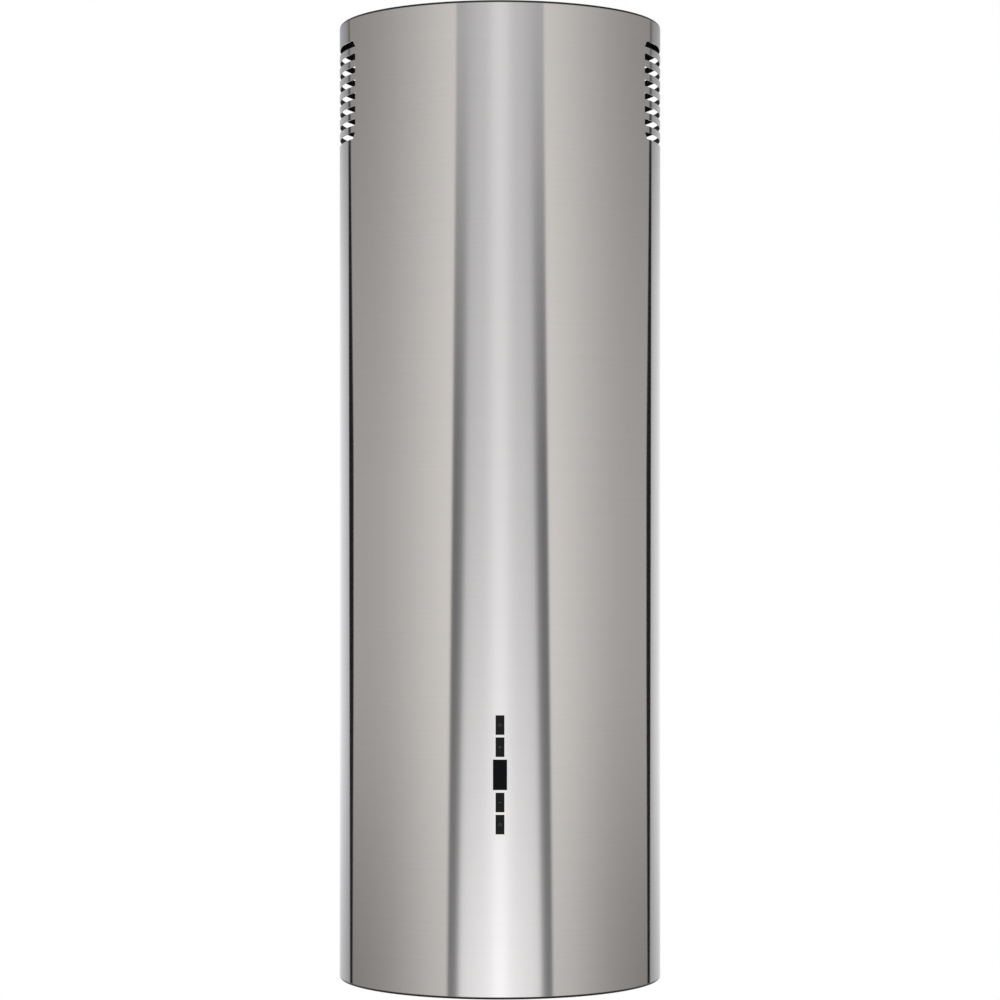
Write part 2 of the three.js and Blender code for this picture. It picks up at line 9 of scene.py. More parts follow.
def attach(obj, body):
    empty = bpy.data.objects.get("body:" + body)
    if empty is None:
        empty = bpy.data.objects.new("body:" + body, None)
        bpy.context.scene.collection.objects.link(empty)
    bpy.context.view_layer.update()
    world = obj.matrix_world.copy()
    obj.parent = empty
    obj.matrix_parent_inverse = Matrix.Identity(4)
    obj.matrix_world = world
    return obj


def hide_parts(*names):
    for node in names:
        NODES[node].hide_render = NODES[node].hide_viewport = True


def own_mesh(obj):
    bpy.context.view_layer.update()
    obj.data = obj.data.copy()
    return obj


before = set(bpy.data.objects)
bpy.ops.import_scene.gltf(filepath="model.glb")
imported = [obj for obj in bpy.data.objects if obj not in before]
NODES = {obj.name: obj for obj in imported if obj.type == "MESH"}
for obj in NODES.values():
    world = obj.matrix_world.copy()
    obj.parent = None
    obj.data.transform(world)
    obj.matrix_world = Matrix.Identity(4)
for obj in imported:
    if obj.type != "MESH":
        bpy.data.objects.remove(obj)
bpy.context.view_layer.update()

MM = 0.001
scene = bpy.context.scene
scene.view_settings.view_transform = "Standard"
scene.view_settings.look = "None"
scene.view_settings.exposure = 0.0
scene.view_settings.gamma = 1.0

# ------------------------------------------------------------------ dimensions, mm
R = 185.0
RI = 184.0
H = 1095.0
HEM_R = 182.5
SLOT_TOP, SLOT_PITCH, SLOT_H, SLOT_HALF, SLOT_CORNER, SLOT_ROWS = 27.5, 14.8, 7.1, 86.85, 6.0, 8
CONTROL_Z = -H + 246.35
BUTTON_DZ = [54.5, 30.3, -30.3, -54.5]
BUTTON_W, BUTTON_H, DISPLAY_W, DISPLAY_H, CLEAR = 9.0, 20.7, 14.8, 32.7, 0.2
PANEL_LOW = -H + 8
PANEL_T = 1.2
FILTER_Z = PANEL_LOW + 3.5
DECK_UNDER = -741.0
BASE = DECK_UNDER + 2.1
PIN_Z = BASE + 15
BLOWER = (0.0, 55.05, -891.0)


# ------------------------------------------------------------------ materials
class Mat:
    """A Principled material built from nodes; object coordinates are the row frame, in metres."""

    def __init__(s, name, color=(0.8, 0.8, 0.8), rough=0.5, metal=0.0, **sockets):
        s.m = bpy.data.materials.new(name)
        s.m.use_nodes = True
        s.t = s.m.node_tree
        s.t.nodes.clear()
        s.out = s.t.nodes.new("ShaderNodeOutputMaterial")
        s.b = s.t.nodes.new("ShaderNodeBsdfPrincipled")
        s.t.links.new(s.b.outputs[0], s.out.inputs[0])
        s.co = s.t.nodes.new("ShaderNodeTexCoord").outputs["Object"]
        s.b.inputs["Base Color"].default_value = (*color, 1)
        s.b.inputs["Roughness"].default_value = rough
        s.b.inputs["Metallic"].default_value = metal
        for k, v in sockets.items():
            s.b.inputs[k.replace("_", " ")].default_value = v

    def to(s, a, b):
        s.t.links.new(a, b)

    def scaled(s, v, xyz):
        n = s.t.nodes.new("ShaderNodeVectorMath")
        n.operation = "MULTIPLY"
        s.to(v, n.inputs[0])
        n.inputs[1].default_value = xyz
        return n.outputs[0]

    def noise(s, xyz=(1, 1, 1), detail=3.0, rough=0.55, distort=0.0, v=None):
        n = s.t.nodes.new("ShaderNodeTexNoise")
        s.to(s.scaled(v or s.co, xyz), n.inputs["Vector"])
        n.inputs["Scale"].default_value = 1.0
        n.inputs["Detail"].default_value = detail
        n.inputs["Roughness"].default_value = rough
        n.inputs["Distortion"].default_value = distort
        return n.outputs[0]

    def voronoi(s, xyz, feature="F1"):
        n = s.t.nodes.new("ShaderNodeTexVoronoi")
        n.feature = feature
        s.to(s.scaled(s.co, xyz), n.inputs["Vector"])
        n.inputs["Scale"].default_value = 1.0
        return n

    def ramp(s, fac, stops):
        n = s.t.nodes.new("ShaderNodeValToRGB")
        e = n.color_ramp.elements
        while len(e) < len(stops):
            e.new(0.5)
        for el, (p, c) in zip(e, stops):
            el.position = p
            el.color = (*c, 1) if isinstance(c, tuple) else (c, c, c, 1)
        s.to(fac, n.inputs[0])
        return n.outputs[0]

    def math(s, op, a, b=None, c=None, clamp=False):
        n = s.t.nodes.new("ShaderNodeMath")
        n.operation = op
        n.use_clamp = clamp
        for i, x in enumerate((a, b, c)):
            if x is None:
                continue
            if isinstance(x, (int, float)):
                n.inputs[i].default_value = x
            else:
                s.to(x, n.inputs[i])
        return n.outputs[0]

    def mix(s, fac, a, b, blend="MIX"):
        n = s.t.nodes.new("ShaderNodeMix")
        n.data_type = "RGBA"
        n.blend_type = blend
        for i, x in ((0, fac), (6, a), (7, b)):
            if isinstance(x, (int, float)):
                n.inputs[i].default_value = (x, x, x, 1) if i else x
            elif isinstance(x, tuple):
                n.inputs[i].default_value = (*x, 1)
            else:
                s.to(x, n.inputs[i])
        return n.outputs[2]

    def bump(s, height, distance, strength=1.0, normal=None):
        n = s.t.nodes.new("ShaderNodeBump")
        n.inputs["Strength"].default_value = strength
        n.inputs["Distance"].default_value = distance
        s.to(height, n.inputs["Height"])
        if normal is not None:
            s.to(normal, n.inputs["Normal"])
        return n.outputs[0]

    def set(s, **sockets):
        for k, v in sockets.items():
            s.to(v, s.b.inputs[k.replace("_", " ")])
        return s


def brushed(name, way, radial, color, rough, aniso, streaks=1.0, shaded_rim_span=None):
    """Brushed stainless. way(a, b) gives the noise scale along and across the scratches; the last argument, if given,
    is the length between the two folded rims, and a thin band at each rim is painted nearly black as painted shade.
    """
    m = Mat(name, color, rough, 1.0)
    m.b.inputs["Anisotropic"].default_value = aniso
    if radial:
        t = m.t.nodes.new("ShaderNodeTangent")
        t.direction_type = "RADIAL"
        t.axis = "Z"
        m.b.inputs["Anisotropic Rotation"].default_value = 0.25
        m.to(t.outputs[0], m.b.inputs["Tangent"])
    fine = m.noise(way(9, 2600), 2, 0.6)
    mid = m.noise(way(5, 900), 3, 0.62)
    wide = m.noise(way(2.5, 220), 3, 0.6)
    cloud = m.noise((6, 6, 3.5), 3, 0.5)
    scratch = m.ramp(m.noise(way(14, 1500), 1, 0.5), [(0.0, 0.0), (0.72, 0.0), (0.80, 1.0), (1.0, 1.0)])
    streak = m.math("ADD", m.math("MULTIPLY", fine, 0.45), m.math("ADD", m.math("MULTIPLY", mid, 0.37), m.math("MULTIPLY", wide, 0.18)))
    k = 0.02 * streaks
    tone = m.ramp(streak, [(0.36, tuple(c * (1 - k) for c in color)), (0.5, color), (0.64, tuple(min(1, c * (1 + 0.8 * k)) for c in color))])
    tone = m.mix(m.ramp(cloud, [(0.4, 0.0), (0.8, 0.05)]), tone, tuple(c * 0.93 for c in color))
    tone = m.mix(m.math("MULTIPLY", scratch, 0.05 * streaks), tone, tuple(c * 0.75 for c in color))
    r = m.math("ADD", m.math("MULTIPLY", streak, 0.05 * streaks), rough - 0.025 * streaks)
    r = m.math("ADD", r, m.math("MULTIPLY", m.ramp(cloud, [(0.45, 0.0), (0.8, 1.0)]), 0.012))
    # painted shade: the last 2 to 3 mm at both ends of the tube are darkened to 7% of the steel colour and roughened, a
    # painted dark line along the folded rims
    if shaded_rim_span:
        z = m.t.nodes.new("ShaderNodeSeparateXYZ")
        m.to(m.co, z.inputs[0])
        depth = m.math("SUBTRACT", m.math("ABSOLUTE", m.math("ADD", z.outputs[2], shaded_rim_span / 2)), shaded_rim_span / 2 - 0.0029)
        edge = m.math("MULTIPLY", depth, 1 / 0.0007, clamp=True)
        tone = m.mix(edge, tone, tuple(c * 0.07 for c in color))
        r = m.math("ADD", r, m.math("MULTIPLY", edge, 0.22))
    m.set(Base_Color=tone, Roughness=r)
    m.to(m.bump(streak, 0.00002, 0.3), m.b.inputs["Normal"])
    return m.m


STEEL = (0.745, 0.712, 0.700)
MAT = {}
# the tube's outer steel, with painted shade along both rims
MAT["steel_round"] = brushed("steel_round", lambda a, b: (a, a, b), True, STEEL, 0.085, 0.75, 1.0, H * MM)
# painted shade: the tube's inner faces use the brushed steel darkened to about a sixth of its colour, standing in for
# the shade inside the tube
MAT["steel_inside_painted_shade"] = brushed("steel_inside_painted_shade", lambda a, b: (a, a, b), False, (0.13, 0.128, 0.126), 0.45, 0.0, 1.5)
MAT["steel_flat"] = brushed("steel_flat", lambda a, b: (a, b, a), False, STEEL, 0.26, 0.0, 2.2)


def galvanised():
    m = Mat("galvanised", (0.6, 0.62, 0.64), 0.42, 1.0)
    v = m.voronoi((95, 95, 95))
    tone = m.ramp(v.outputs["Color"], [(0.0, (0.47, 0.49, 0.51)), (0.5, (0.57, 0.59, 0.61)), (1.0, (0.69, 0.70, 0.71))])
    feather = m.noise((420, 420, 420), 3, 0.6)
    tone = m.mix(m.math("MULTIPLY", feather, 0.28), tone, (0.74, 0.75, 0.76))
    haze = m.noise((14, 14, 14), 4, 0.6)
    tone = m.mix(m.ramp(haze, [(0.5, 0.0), (0.8, 0.35)]), tone, (0.52, 0.53, 0.54))
    r = m.ramp(m.math("ADD", v.outputs["Distance"], m.math("MULTIPLY", haze, 0.4)), [(0.1, 0.34), (0.9, 0.52)])
    m.set(Base_Color=tone, Roughness=r)
    m.to(m.bump(m.math("ADD", feather, m.math("MULTIPLY", v.outputs["Distance"], 0.6)), 0.00006, 0.35), m.b.inputs["Normal"])
    return m.m


def plastic(name, color, rough, grain=2600.0, depth=0.00004, dust=0.05, light=None):
    """Moulded plastic: fine spark-eroded grain, slight shine variation, a trace of dust."""
    m = Mat(name, color, rough)
    g = m.noise((grain, grain, grain), 3, 0.6)
    cloud = m.noise((22, 22, 22), 4, 0.55)
    light = light or tuple(min(1.0, c * 1.35 + 0.01) for c in color)
    tone = m.mix(m.ramp(g, [(0.35, 0.0), (0.75, 0.5)]), color, light)
    tone = m.mix(m.ramp(cloud, [(0.45, 0.0), (0.85, dust)]), tone, tuple(min(1.0, c + 0.16) for c in color))
    r = m.math("ADD", m.math("MULTIPLY", cloud, 0.16), rough - 0.08)
    m.set(Base_Color=tone, Roughness=r)
    m.to(m.bump(g, depth, 0.5), m.b.inputs["Normal"])
    return m.m


def metal(name, color, rough, grain=(900, 900, 900), depth=0.00002, vary=0.10, streak=None):
    m = Mat(name, color, rough, 1.0)
    g = m.noise(grain, 3, 0.6)
    cloud = m.noise((30, 30, 30), 4, 0.6)
    tone = m.mix(m.ramp(cloud, [(0.35, 0.0), (0.8, 0.6)]), color, tuple(c * (1 - vary) for c in color))
    tone = m.mix(m.ramp(g, [(0.4, 0.0), (0.7, 0.25)]), tone, tuple(min(1, c * 1.08) for c in color))
    r = m.math("ADD", m.math("MULTIPLY", g, 0.12), m.math("ADD", m.math("MULTIPLY", cloud, 0.10), max(0.02, rough - 0.11)))
    m.set(Base_Color=tone, Roughness=r)
    m.to(m.bump(g, depth, 0.4), m.b.inputs["Normal"])
    return m.m


MAT["galvanised"] = galvanised()
MAT["black"] = plastic("black_plastic", (0.022, 0.022, 0.024), 0.42)
MAT["cap"] = plastic("button_cap", (0.007, 0.007, 0.008), 0.38, 5200.0, 0.000015, 0.02)
MAT["icon"] = plastic("icon_grey", (0.115, 0.115, 0.120), 0.5, 5200.0, 0.00001, 0.02)
for name in ("cap", "icon"):
    MAT[name].node_tree.nodes["Principled BSDF"].inputs["Specular IOR Level"].default_value = 0.14
MAT["grey"] = plastic("grey_plastic", (0.115, 0.120, 0.125), 0.5, 1900.0, 0.00006, 0.10)
MAT["wheel"] = plastic("wheel_plastic", (0.034, 0.035, 0.037), 0.46, 1700.0, 0.00005, 0.10)
MAT["white"] = plastic("white_plastic", (0.72, 0.72, 0.70), 0.45, 2100.0, 0.00004, 0.05, (0.78, 0.78, 0.76))
MAT["aluminium"] = metal("aluminium_mill", (0.80, 0.81, 0.82), 0.36, (700, 60, 700))
MAT["cast"] = metal("cast_aluminium", (0.62, 0.63, 0.64), 0.46, (1500, 1500, 1500), 0.00010)
MAT["chrome"] = metal("chrome", (0.83, 0.84, 0.85), 0.14, (500, 500, 500), 0.000004, 0.04)
MAT["zinc"] = metal("bright_zinc", (0.70, 0.72, 0.75), 0.27, (1200, 1200, 1200), 0.00002, 0.12)
MAT["ground"] = metal("ground_steel", (0.66, 0.67, 0.68), 0.24, (2600, 120, 120), 0.00001, 0.08)
MAT["spring"] = metal("spring_wire", (0.48, 0.49, 0.51), 0.30, (300, 3000, 300), 0.00001, 0.12)


def display():
    m = Mat("display_glass", (0.003, 0.003, 0.004), 0.05)
    m.b.inputs["Specular IOR Level"].default_value = 0.06
    smear = m.noise((60, 60, 25), 4, 0.6, 0.4)
    m.set(Roughness=m.ramp(smear, [(0.4, 0.04), (0.8, 0.11)]), Base_Color=m.mix(m.ramp(smear, [(0.4, 0.0), (0.9, 0.5)]), (0.003, 0.003, 0.004), (0.008, 0.008, 0.009)))
    return m.m


def diffuser():
    m = Mat("lamp_diffuser", (0.93, 0.93, 0.90), 0.32)
    m.b.inputs["Subsurface Weight"].default_value = 0.2
    m.b.inputs["Subsurface Scale"].default_value = 0.002
    g = m.noise((3200, 3200, 3200), 2, 0.5)
    c = m.noise((45, 45, 45), 3, 0.5)
    m.set(Base_Color=m.mix(c, (0.95, 0.95, 0.93), (0.88, 0.88, 0.85)), Roughness=m.ramp(g, [(0.3, 0.24), (0.7, 0.42)]))
    m.to(m.bump(g, 0.00003, 0.5), m.b.inputs["Normal"])
    return m.m


def board():
    m = Mat("circuit_board", (0.03, 0.14, 0.06), 0.35)
    br = m.t.nodes.new("ShaderNodeTexBrick")
    m.to(m.scaled(m.co, (380, 380, 380)), br.inputs["Vector"])
    br.inputs["Scale"].default_value = 1.0
    br.inputs["Mortar Size"].default_value = 0.05
    br.inputs["Color1"].default_value = (0.025, 0.12, 0.055, 1)
    br.inputs["Color2"].default_value = (0.035, 0.16, 0.07, 1)
    br.inputs["Mortar"].default_value = (0.10, 0.30, 0.14, 1)
    n = m.noise((800, 800, 800), 2, 0.5)
    m.set(Base_Color=m.mix(0.25, br.outputs[0], n, "MULTIPLY"), Roughness=m.ramp(n, [(0.3, 0.28), (0.7, 0.45)]))
    m.to(m.bump(br.outputs[1], 0.00003, 0.4), m.b.inputs["Normal"])
    return m.m


MAT["display"] = display()
MAT["lens"] = diffuser()
MAT["board"] = board()


# ------------------------------------------------------------------ mesh building, in mm
def area2(p):
    return sum(p[i][0] * p[(i + 1) % len(p)][1] - p[(i + 1) % len(p)][0] * p[i][1] for i in range(len(p)))


def inset(p, d):
    """The polygon moved inwards by d (outwards if negative), for a polygon of either winding."""
    n, sign, out = len(p), 1 if area2(p) > 0 else -1, []
    for i in range(n):
        a, b, c = Vector(p[i - 1][:2]), Vector(p[i][:2]), Vector(p[(i + 1) % n][:2])
        e, f = (b - a).normalized(), (c - b).normalized()
        ne, nf = Vector((-e.y, e.x)) * sign, Vector((-f.y, f.x)) * sign
        m = ne + nf
        m = m / max(0.35, m.dot(ne)) if m.length > 1e-9 else ne
        out.append((b.x + m.x * d, b.y + m.y * d))
    return out


def inside(pt, poly):
    x, y, hit = pt[0], pt[1], False
    for i in range(len(poly)):
        (x0, y0), (x1, y1) = poly[i - 1], poly[i]
        if (y0 > y) != (y1 > y) and x < (x1 - x0) * (y - y0) / (y1 - y0) + x0:
            hit = not hit
    return hit


def circle(r, n, cx=0.0, cy=0.0, a0=0.0):
    return [(cx + r * math.cos(a0 + 2 * math.pi * i / n), cy + r * math.sin(a0 + 2 * math.pi * i / n)) for i in range(n)]


def rounded(x0, x1, y0, y1, r, n=5):
    pts = []
    for cx, cy, a0 in ((x1 - r, y1 - r, 0), (x0 + r, y1 - r, 90), (x0 + r, y0 + r, 180), (x1 - r, y0 + r, 270)):
        for i in range(n + 1):
            a = math.radians(a0 + 90 * i / n)
            pts.append((cx + r * math.cos(a), cy + r * math.sin(a)))
    return pts


def slot(cx, cy, half, r, turn, n=8):
    pts = [(half + r * math.cos(a), r * math.sin(a)) for a in [math.radians(-90 + 180 * i / n) for i in range(n + 1)]]
    pts += [(-half + r * math.cos(a), r * math.sin(a)) for a in [math.radians(90 + 180 * i / n) for i in range(n + 1)]]
    c, s = math.cos(turn), math.sin(turn)
    return [(cx + x * c - y * s, cy + x * s + y * c) for x, y in pts]


class Build:
    """Collects closed shells and makes one object of them."""

    def __init__(s):
        s.v, s.f = [], []

    def add(s, v, f, move=None):
        k = len(s.v)
        s.v += [tuple(move @ Vector(p)) if move is not None else tuple(p) for p in v]
        s.f += [[i + k for i in q] for q in f]
        return s

    def lathe(s, profile, n=64, axis="z", at=(0, 0, 0), ripple=None):
        """profile: (r, h) points; closed unless both ends are on the axis."""
        on_axis = profile[0][0] == 0 and profile[-1][0] == 0
        v, rows, f = [], [], []
        for r, h in profile:
            if r == 0:
                rows.append([len(v)] * n)
                v.append((0, 0, h))
            else:
                rows.append(list(range(len(v), len(v) + n)))
                v += [(r * math.cos(2 * math.pi * i / n), r * math.sin(2 * math.pi * i / n), h) for i in range(n)]
        pairs = list(zip(rows, rows[1:])) + ([] if on_axis else [(rows[-1], rows[0])])
        for a, b in pairs:
            for i in range(n):
                j = (i + 1) % n
                q = [a[i], a[j], b[j], b[i]]
                q = [x for k, x in enumerate(q) if x not in q[:k]]
                if len(q) > 2:
                    f.append(q)
        turn = {"z": Matrix.Identity(3), "x": Matrix(((0, 0, 1), (1, 0, 0), (0, 1, 0))), "y": Matrix(((0, 1, 0), (0, 0, 1), (1, 0, 0)))}[axis]
        return s.add([tuple(turn @ Vector(p) + Vector(at)) for p in v], f)

    def plate(s, outline, lo, hi, holes=(), bevel=0.25, axis="z", move=None):
        """An outline with holes, pushed along an axis, with chamfered edges: (u, v) is (x, y) for z, (y, z) for x, (x, z) for y."""
        loops = [list(outline)] + [list(h) for h in holes]
        flat = [inset(loops[0], bevel)] + [inset(h, -bevel) for h in loops[1:]]
        v, f, first = [], [], []
        for ring, cap in zip(loops, flat):
            first.append(len(v))
            for pts, z in ((cap, lo), (ring, lo + bevel), (ring, hi - bevel), (cap, hi)):
                v += [(x, y, z) for x, y in pts]
        for k, ring in enumerate(loops):
            n, a = len(ring), first[k]
            for step in range(3):
                for i in range(n):
                    j = (i + 1) % n
                    f.append([a + step * n + i, a + step * n + j, a + (step + 1) * n + j, a + (step + 1) * n + i])
        pts, edges, ids = [], [], []
        for k, cap in enumerate(flat):
            m, n = len(pts), len(cap)
            pts += [Vector(p) for p in cap]
            ids += [first[k] + i for i in range(n)]
            edges += [(m + i, m + (i + 1) % n) for i in range(n)]
        got, _, tris, origin, _, _ = delaunay_2d_cdt(pts, edges, [], 0, 1e-7)
        back = {i: ids[o[0]] for i, o in enumerate(origin) if o}
        n_of = {}
        for k, ring in enumerate(loops):
            for i in range(len(ring)):
                n_of[first[k] + i] = len(ring)
        for t in tris:
            c = sum((got[i] for i in t), Vector((0, 0))) / 3
            if inside(c, flat[0]) and not any(inside(c, h) for h in flat[1:]) and all(i in back for i in t):
                low = [back[i] for i in t]
                f.append(low)
                f.append([i + 3 * n_of[i] for i in reversed(low)])
        m = {"z": lambda p: p, "x": lambda p: (p[2], p[0], p[1]), "y": lambda p: (p[0], p[2], p[1])}[axis]
        return s.add([m(p) for p in v], f, move)

    def box(s, x0, x1, y0, y1, z0, z1, bevel=0.4, seg=2, move=None):
        bm = bmesh.new()
        bmesh.ops.create_cube(bm, size=1)
        for p in bm.verts:
            p.co = Vector(((x0 + x1) / 2 + p.co.x * (x1 - x0), (y0 + y1) / 2 + p.co.y * (y1 - y0), (z0 + z1) / 2 + p.co.z * (z1 - z0)))
        b = min(bevel, 0.45 * min(x1 - x0, y1 - y0, z1 - z0))
        bmesh.ops.bevel(bm, geom=bm.edges[:], offset=b, segments=seg, affect="EDGES", profile=0.5)
        bm.verts.index_update()
        v, f = [p.co[:] for p in bm.verts], [[p.index for p in q.verts] for q in bm.faces]
        bm.free()
        return s.add(v, f, move)

    def bar(s, points, shape, close=False):
        """A section swept along 3D points; shape: (across, up) offsets."""
        v, f, n = [], [], len(shape)
        for i, p in enumerate(points):
            p = Vector(p)
            a = Vector(points[i - 1]) if i or close else p
            b = Vector(points[(i + 1) % len(points)]) if i + 1 < len(points) or close else p
            d = (b - a).normalized()
            side = d.cross(Vector((0, 0, 1)))
            side = side.normalized() if side.length > 1e-6 else Vector((1, 0, 0))
            up = side.cross(d).normalized()
            v += [tuple(p + side * x + up * y) for x, y in shape]
        m = len(points)
        for i in range(m if close else m - 1):
            a, b = i * n, ((i + 1) % m) * n
            for k in range(n):
                l = (k + 1) % n
                f.append([a + k, a + l, b + l, b + k])
        if not close:
            f.append(list(range(n)))
            f.append([(m - 1) * n + k for k in reversed(range(n))])
        return s.add(v, f)

    def screw(s, x, y, z, r=3.2, h=2.0, way=1):
        """A pan-head cross screw standing on z, head up (or down for way = -1)."""
        head = [(0, 0.25 * h), (0.45 * r, 0.95 * h), (0.75 * r, 0.82 * h), (r, 0.35 * h), (r, 0), (0, 0)]
        s.lathe([(a, z + way * b) for a, b in head], 20, at=(x, y, 0))
        return s

    def obj(s, name, material, body, slot_name, replaces=(), angle=35, recalc=True):
        me = bpy.data.meshes.new(name)
        me.from_pydata([tuple(c * MM for c in p) for p in s.v], [], s.f)
        bm = bmesh.new()
        bm.from_mesh(me)
        bmesh.ops.remove_doubles(bm, verts=bm.verts, dist=1e-7)
        if recalc:
            bmesh.ops.recalc_face_normals(bm, faces=bm.faces)
        bm.to_mesh(me)
        bm.free()
        for p in me.polygons:
            p.use_smooth = True
        me.set_sharp_from_angle(angle=math.radians(angle))
        me.materials.append(MAT[material])
        o = bpy.data.objects.new(name, me)
        scene.collection.objects.link(o)
        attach(o, body)
        if replaces:
            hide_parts(*([replaces] if isinstance(replaces, str) else replaces))
        return o


def keep(node, material, bevel=0.4, seg=2):
    """A CAD node that stays, with its finish and softened edges."""
    o = NODES[node]
    o.data.materials.clear()
    o.data.materials.append(MAT[material])
    if bevel:
        b = o.modifiers.new("edge", "BEVEL")
        b.width = bevel * MM
        b.segments = seg
        b.limit_method = "ANGLE"
        b.angle_limit = math.radians(40)
        b.harden_normals = False


# ------------------------------------------------------------------ cover tube
def cover():
    b = 0.22  # edge rounding of the cut-outs
    RIM_R, RIM_H = 1.8, 3.0  # rounding of the folded rims, across and along the tube
    deg = math.degrees
    slot_a = deg(math.asin((SLOT_HALF + b) / R))
    cut_a = deg(math.asin((SLOT_HALF - SLOT_CORNER + b) / R))
    key_a = deg(math.asin((BUTTON_W / 2 + CLEAR + b) / R))
    lcd_a = deg(math.asin((DISPLAY_W / 2 + CLEAR + b) / R))
    special = sorted([-lcd_a, -key_a, 0.0, key_a, lcd_a] + [s * 90 + t * slot_a for s in (-1, 1) for t in (-1, 1)])
    cols = list(special)
    a = -180.0
    while a < 180 - 1e-6:
        if min(abs(a - c) for c in special) > 0.6:
            cols.append(a)
        a += 1.5
    cols.sort()
    n = len(cols)
    holes = []  # (first azimuth, last azimuth, low z, high z, cut high corners, cut low corners)
    for k in range(SLOT_ROWS):
        hi = -SLOT_TOP - k * SLOT_PITCH + b
        lo = hi - SLOT_H - 2 * b
        for c in (-90, 90):
            holes.append((c - slot_a, c + slot_a, lo, hi, k == 0, k == SLOT_ROWS - 1))
    for dz in BUTTON_DZ:
        h = BUTTON_H / 2 + CLEAR + b
        holes.append((-key_a, key_a, CONTROL_Z + dz - h, CONTROL_Z + dz + h, False, False))
    h = DISPLAY_H / 2 + CLEAR + b
    holes.append((-lcd_a, lcd_a, CONTROL_Z - h, CONTROL_Z + h, False, False))
    fixed = sorted({-RIM_H, -H + RIM_H} | {x for q in holes for x in q[2:4]}, reverse=True)
    rows = []
    for p, q in zip(fixed, fixed[1:]):
        m = max(1, math.ceil((p - q) / 34))
        rows += [p + (q - p) * i / m for i in range(m)]
    rows.append(fixed[-1])
    shift = {}
    for c0, c1, lo, hi, top, low in holes:
        if top:
            shift[rows.index(hi)] = True
        if low:
            shift[rows.index(lo)] = True

    def azimuth(i, j):
        a = cols[i]
        if j in shift:
            for c in (-90, 90):
                d = abs(a - c)
                if d <= slot_a:
                    return c + (a - c) * cut_a / slot_a
                if d < slot_a + 9:
                    return c + math.copysign(cut_a + (d - slot_a) * (slot_a + 9 - cut_a) / 9, a - c)
        return a

    def at(a, z, r):
        a = math.radians(a)
        return (r * math.sin(a), -r * math.cos(a), z)

    def out(a):
        a = math.radians(a)
        return Vector((math.sin(a), -math.cos(a), 0))

    def along(a):
        a = math.radians(a)
        return Vector((math.cos(a), math.sin(a), 0))

    v, nrm, f = [], [], []

    def put(p, normal):
        v.append(p)
        nrm.append(tuple(Vector(normal).normalized()))
        return len(v) - 1

    outer = [[put(at(azimuth(i, j), z, R), out(azimuth(i, j))) for i in range(n)] for j, z in enumerate(rows)]
    inner = []
    for j, z in enumerate(rows):
        zi = -12.6 if j == 0 else (-H + 12.6 if j == len(rows) - 1 else z)
        inner.append([put(at(azimuth(i, j), zi, RI), -out(azimuth(i, j))) for i in range(n)])
    gone = set()
    for c0, c1, lo, hi, top, low in holes:
        i0, i1 = cols.index(c0), cols.index(c1)
        j0, j1 = rows.index(hi), rows.index(lo)
        for i in range(i0, i1):
            for j in range(j0, j1):
                gone.add((i, j))
        ring = [(i, j1) for i in range(i0, i1)] + [(i1, j) for j in range(j1, j0, -1)] + [(i, j0) for i in range(i1, i0, -1)] + [(i0, j) for j in range(j0, j1)]
        mid_o, mid_i = [], []
        for i, j in ring:
            a, z = azimuth(i, j), rows[j]
            sa = (1 if i == i0 else 0) - (1 if i == i1 else 0)
            sz = (1 if j == j1 else 0) - (1 if j == j0 else 0)
            a2, z2 = a + math.degrees(sa * b / R), z + sz * b
            normal = along(a2) * sa + Vector((0, 0, sz))
            mid_o.append(put(at(a2, z2, R - b), normal))
            mid_i.append(put(at(a2, z2, RI + b), normal))
        o_loop = [outer[j][i] for i, j in ring]
        i_loop = [inner[j][i] for i, j in ring]
        for A, B in ((o_loop, mid_o), (mid_o, mid_i), (mid_i, i_loop)):
            for k in range(len(ring)):
                l = (k + 1) % len(ring)
                f.append([A[k], A[l], B[l], B[k]])
    for j in range(len(rows) - 1):
        for i in range(n):
            if (i, j) in gone:
                continue
            k = (i + 1) % n
            f.append([outer[j + 1][i], outer[j + 1][k], outer[j][k], outer[j][i]])
            f.append([inner[j][i], inner[j][k], inner[j + 1][k], inner[j + 1][i]])

    def rim(start, end, z_edge, way):
        # the folded hem: outside corner, flat rim, inside corner, then the hem's inside wall
        prof = []
        for s in range(1, 6):
            t = math.radians(18 * s)
            prof.append((R - RIM_R + RIM_R * math.cos(t), -RIM_H + RIM_H * math.sin(t), math.cos(t) * RIM_H, math.sin(t) * RIM_R))
        for s in range(0, 6):
            t = math.radians(90 + 18 * s)
            prof.append((HEM_R + 0.6 + 0.6 * math.cos(t), -0.6 + 0.6 * math.sin(t), math.cos(t), math.sin(t)))
        prof += [(HEM_R, -6, -1, 0), (HEM_R, -11.5, -1, 0), (HEM_R + 0.15, -11.85, -0.7, -0.7), (HEM_R + 0.5, -12.0, 0, -1)]
        prev = start
        for r, z, nr, nz in prof:
            ring = [put(at(cols[i], z_edge + way * z, r), out(cols[i]) * nr + Vector((0, 0, way * nz))) for i in range(n)]
            for i in range(n):
                k = (i + 1) % n
                q = [prev[i], prev[k], ring[k], ring[i]]
                f.append(q if way > 0 else q[::-1])
            prev = ring
        for i in range(n):
            k = (i + 1) % n
            q = [prev[i], prev[k], end[k], end[i]]
            f.append(q if way > 0 else q[::-1])

    rim(outer[0], inner[0], 0.0, 1)
    rim(outer[-1], inner[-1], -H, -1)
    me = bpy.data.meshes.new("cover_tube")
    me.from_pydata([tuple(c * MM for c in p) for p in v], [], f)
    for p in me.polygons:
        p.use_smooth = True
    me.normals_split_custom_set_from_vertices(nrm)
    me.materials.append(MAT["steel_round"])
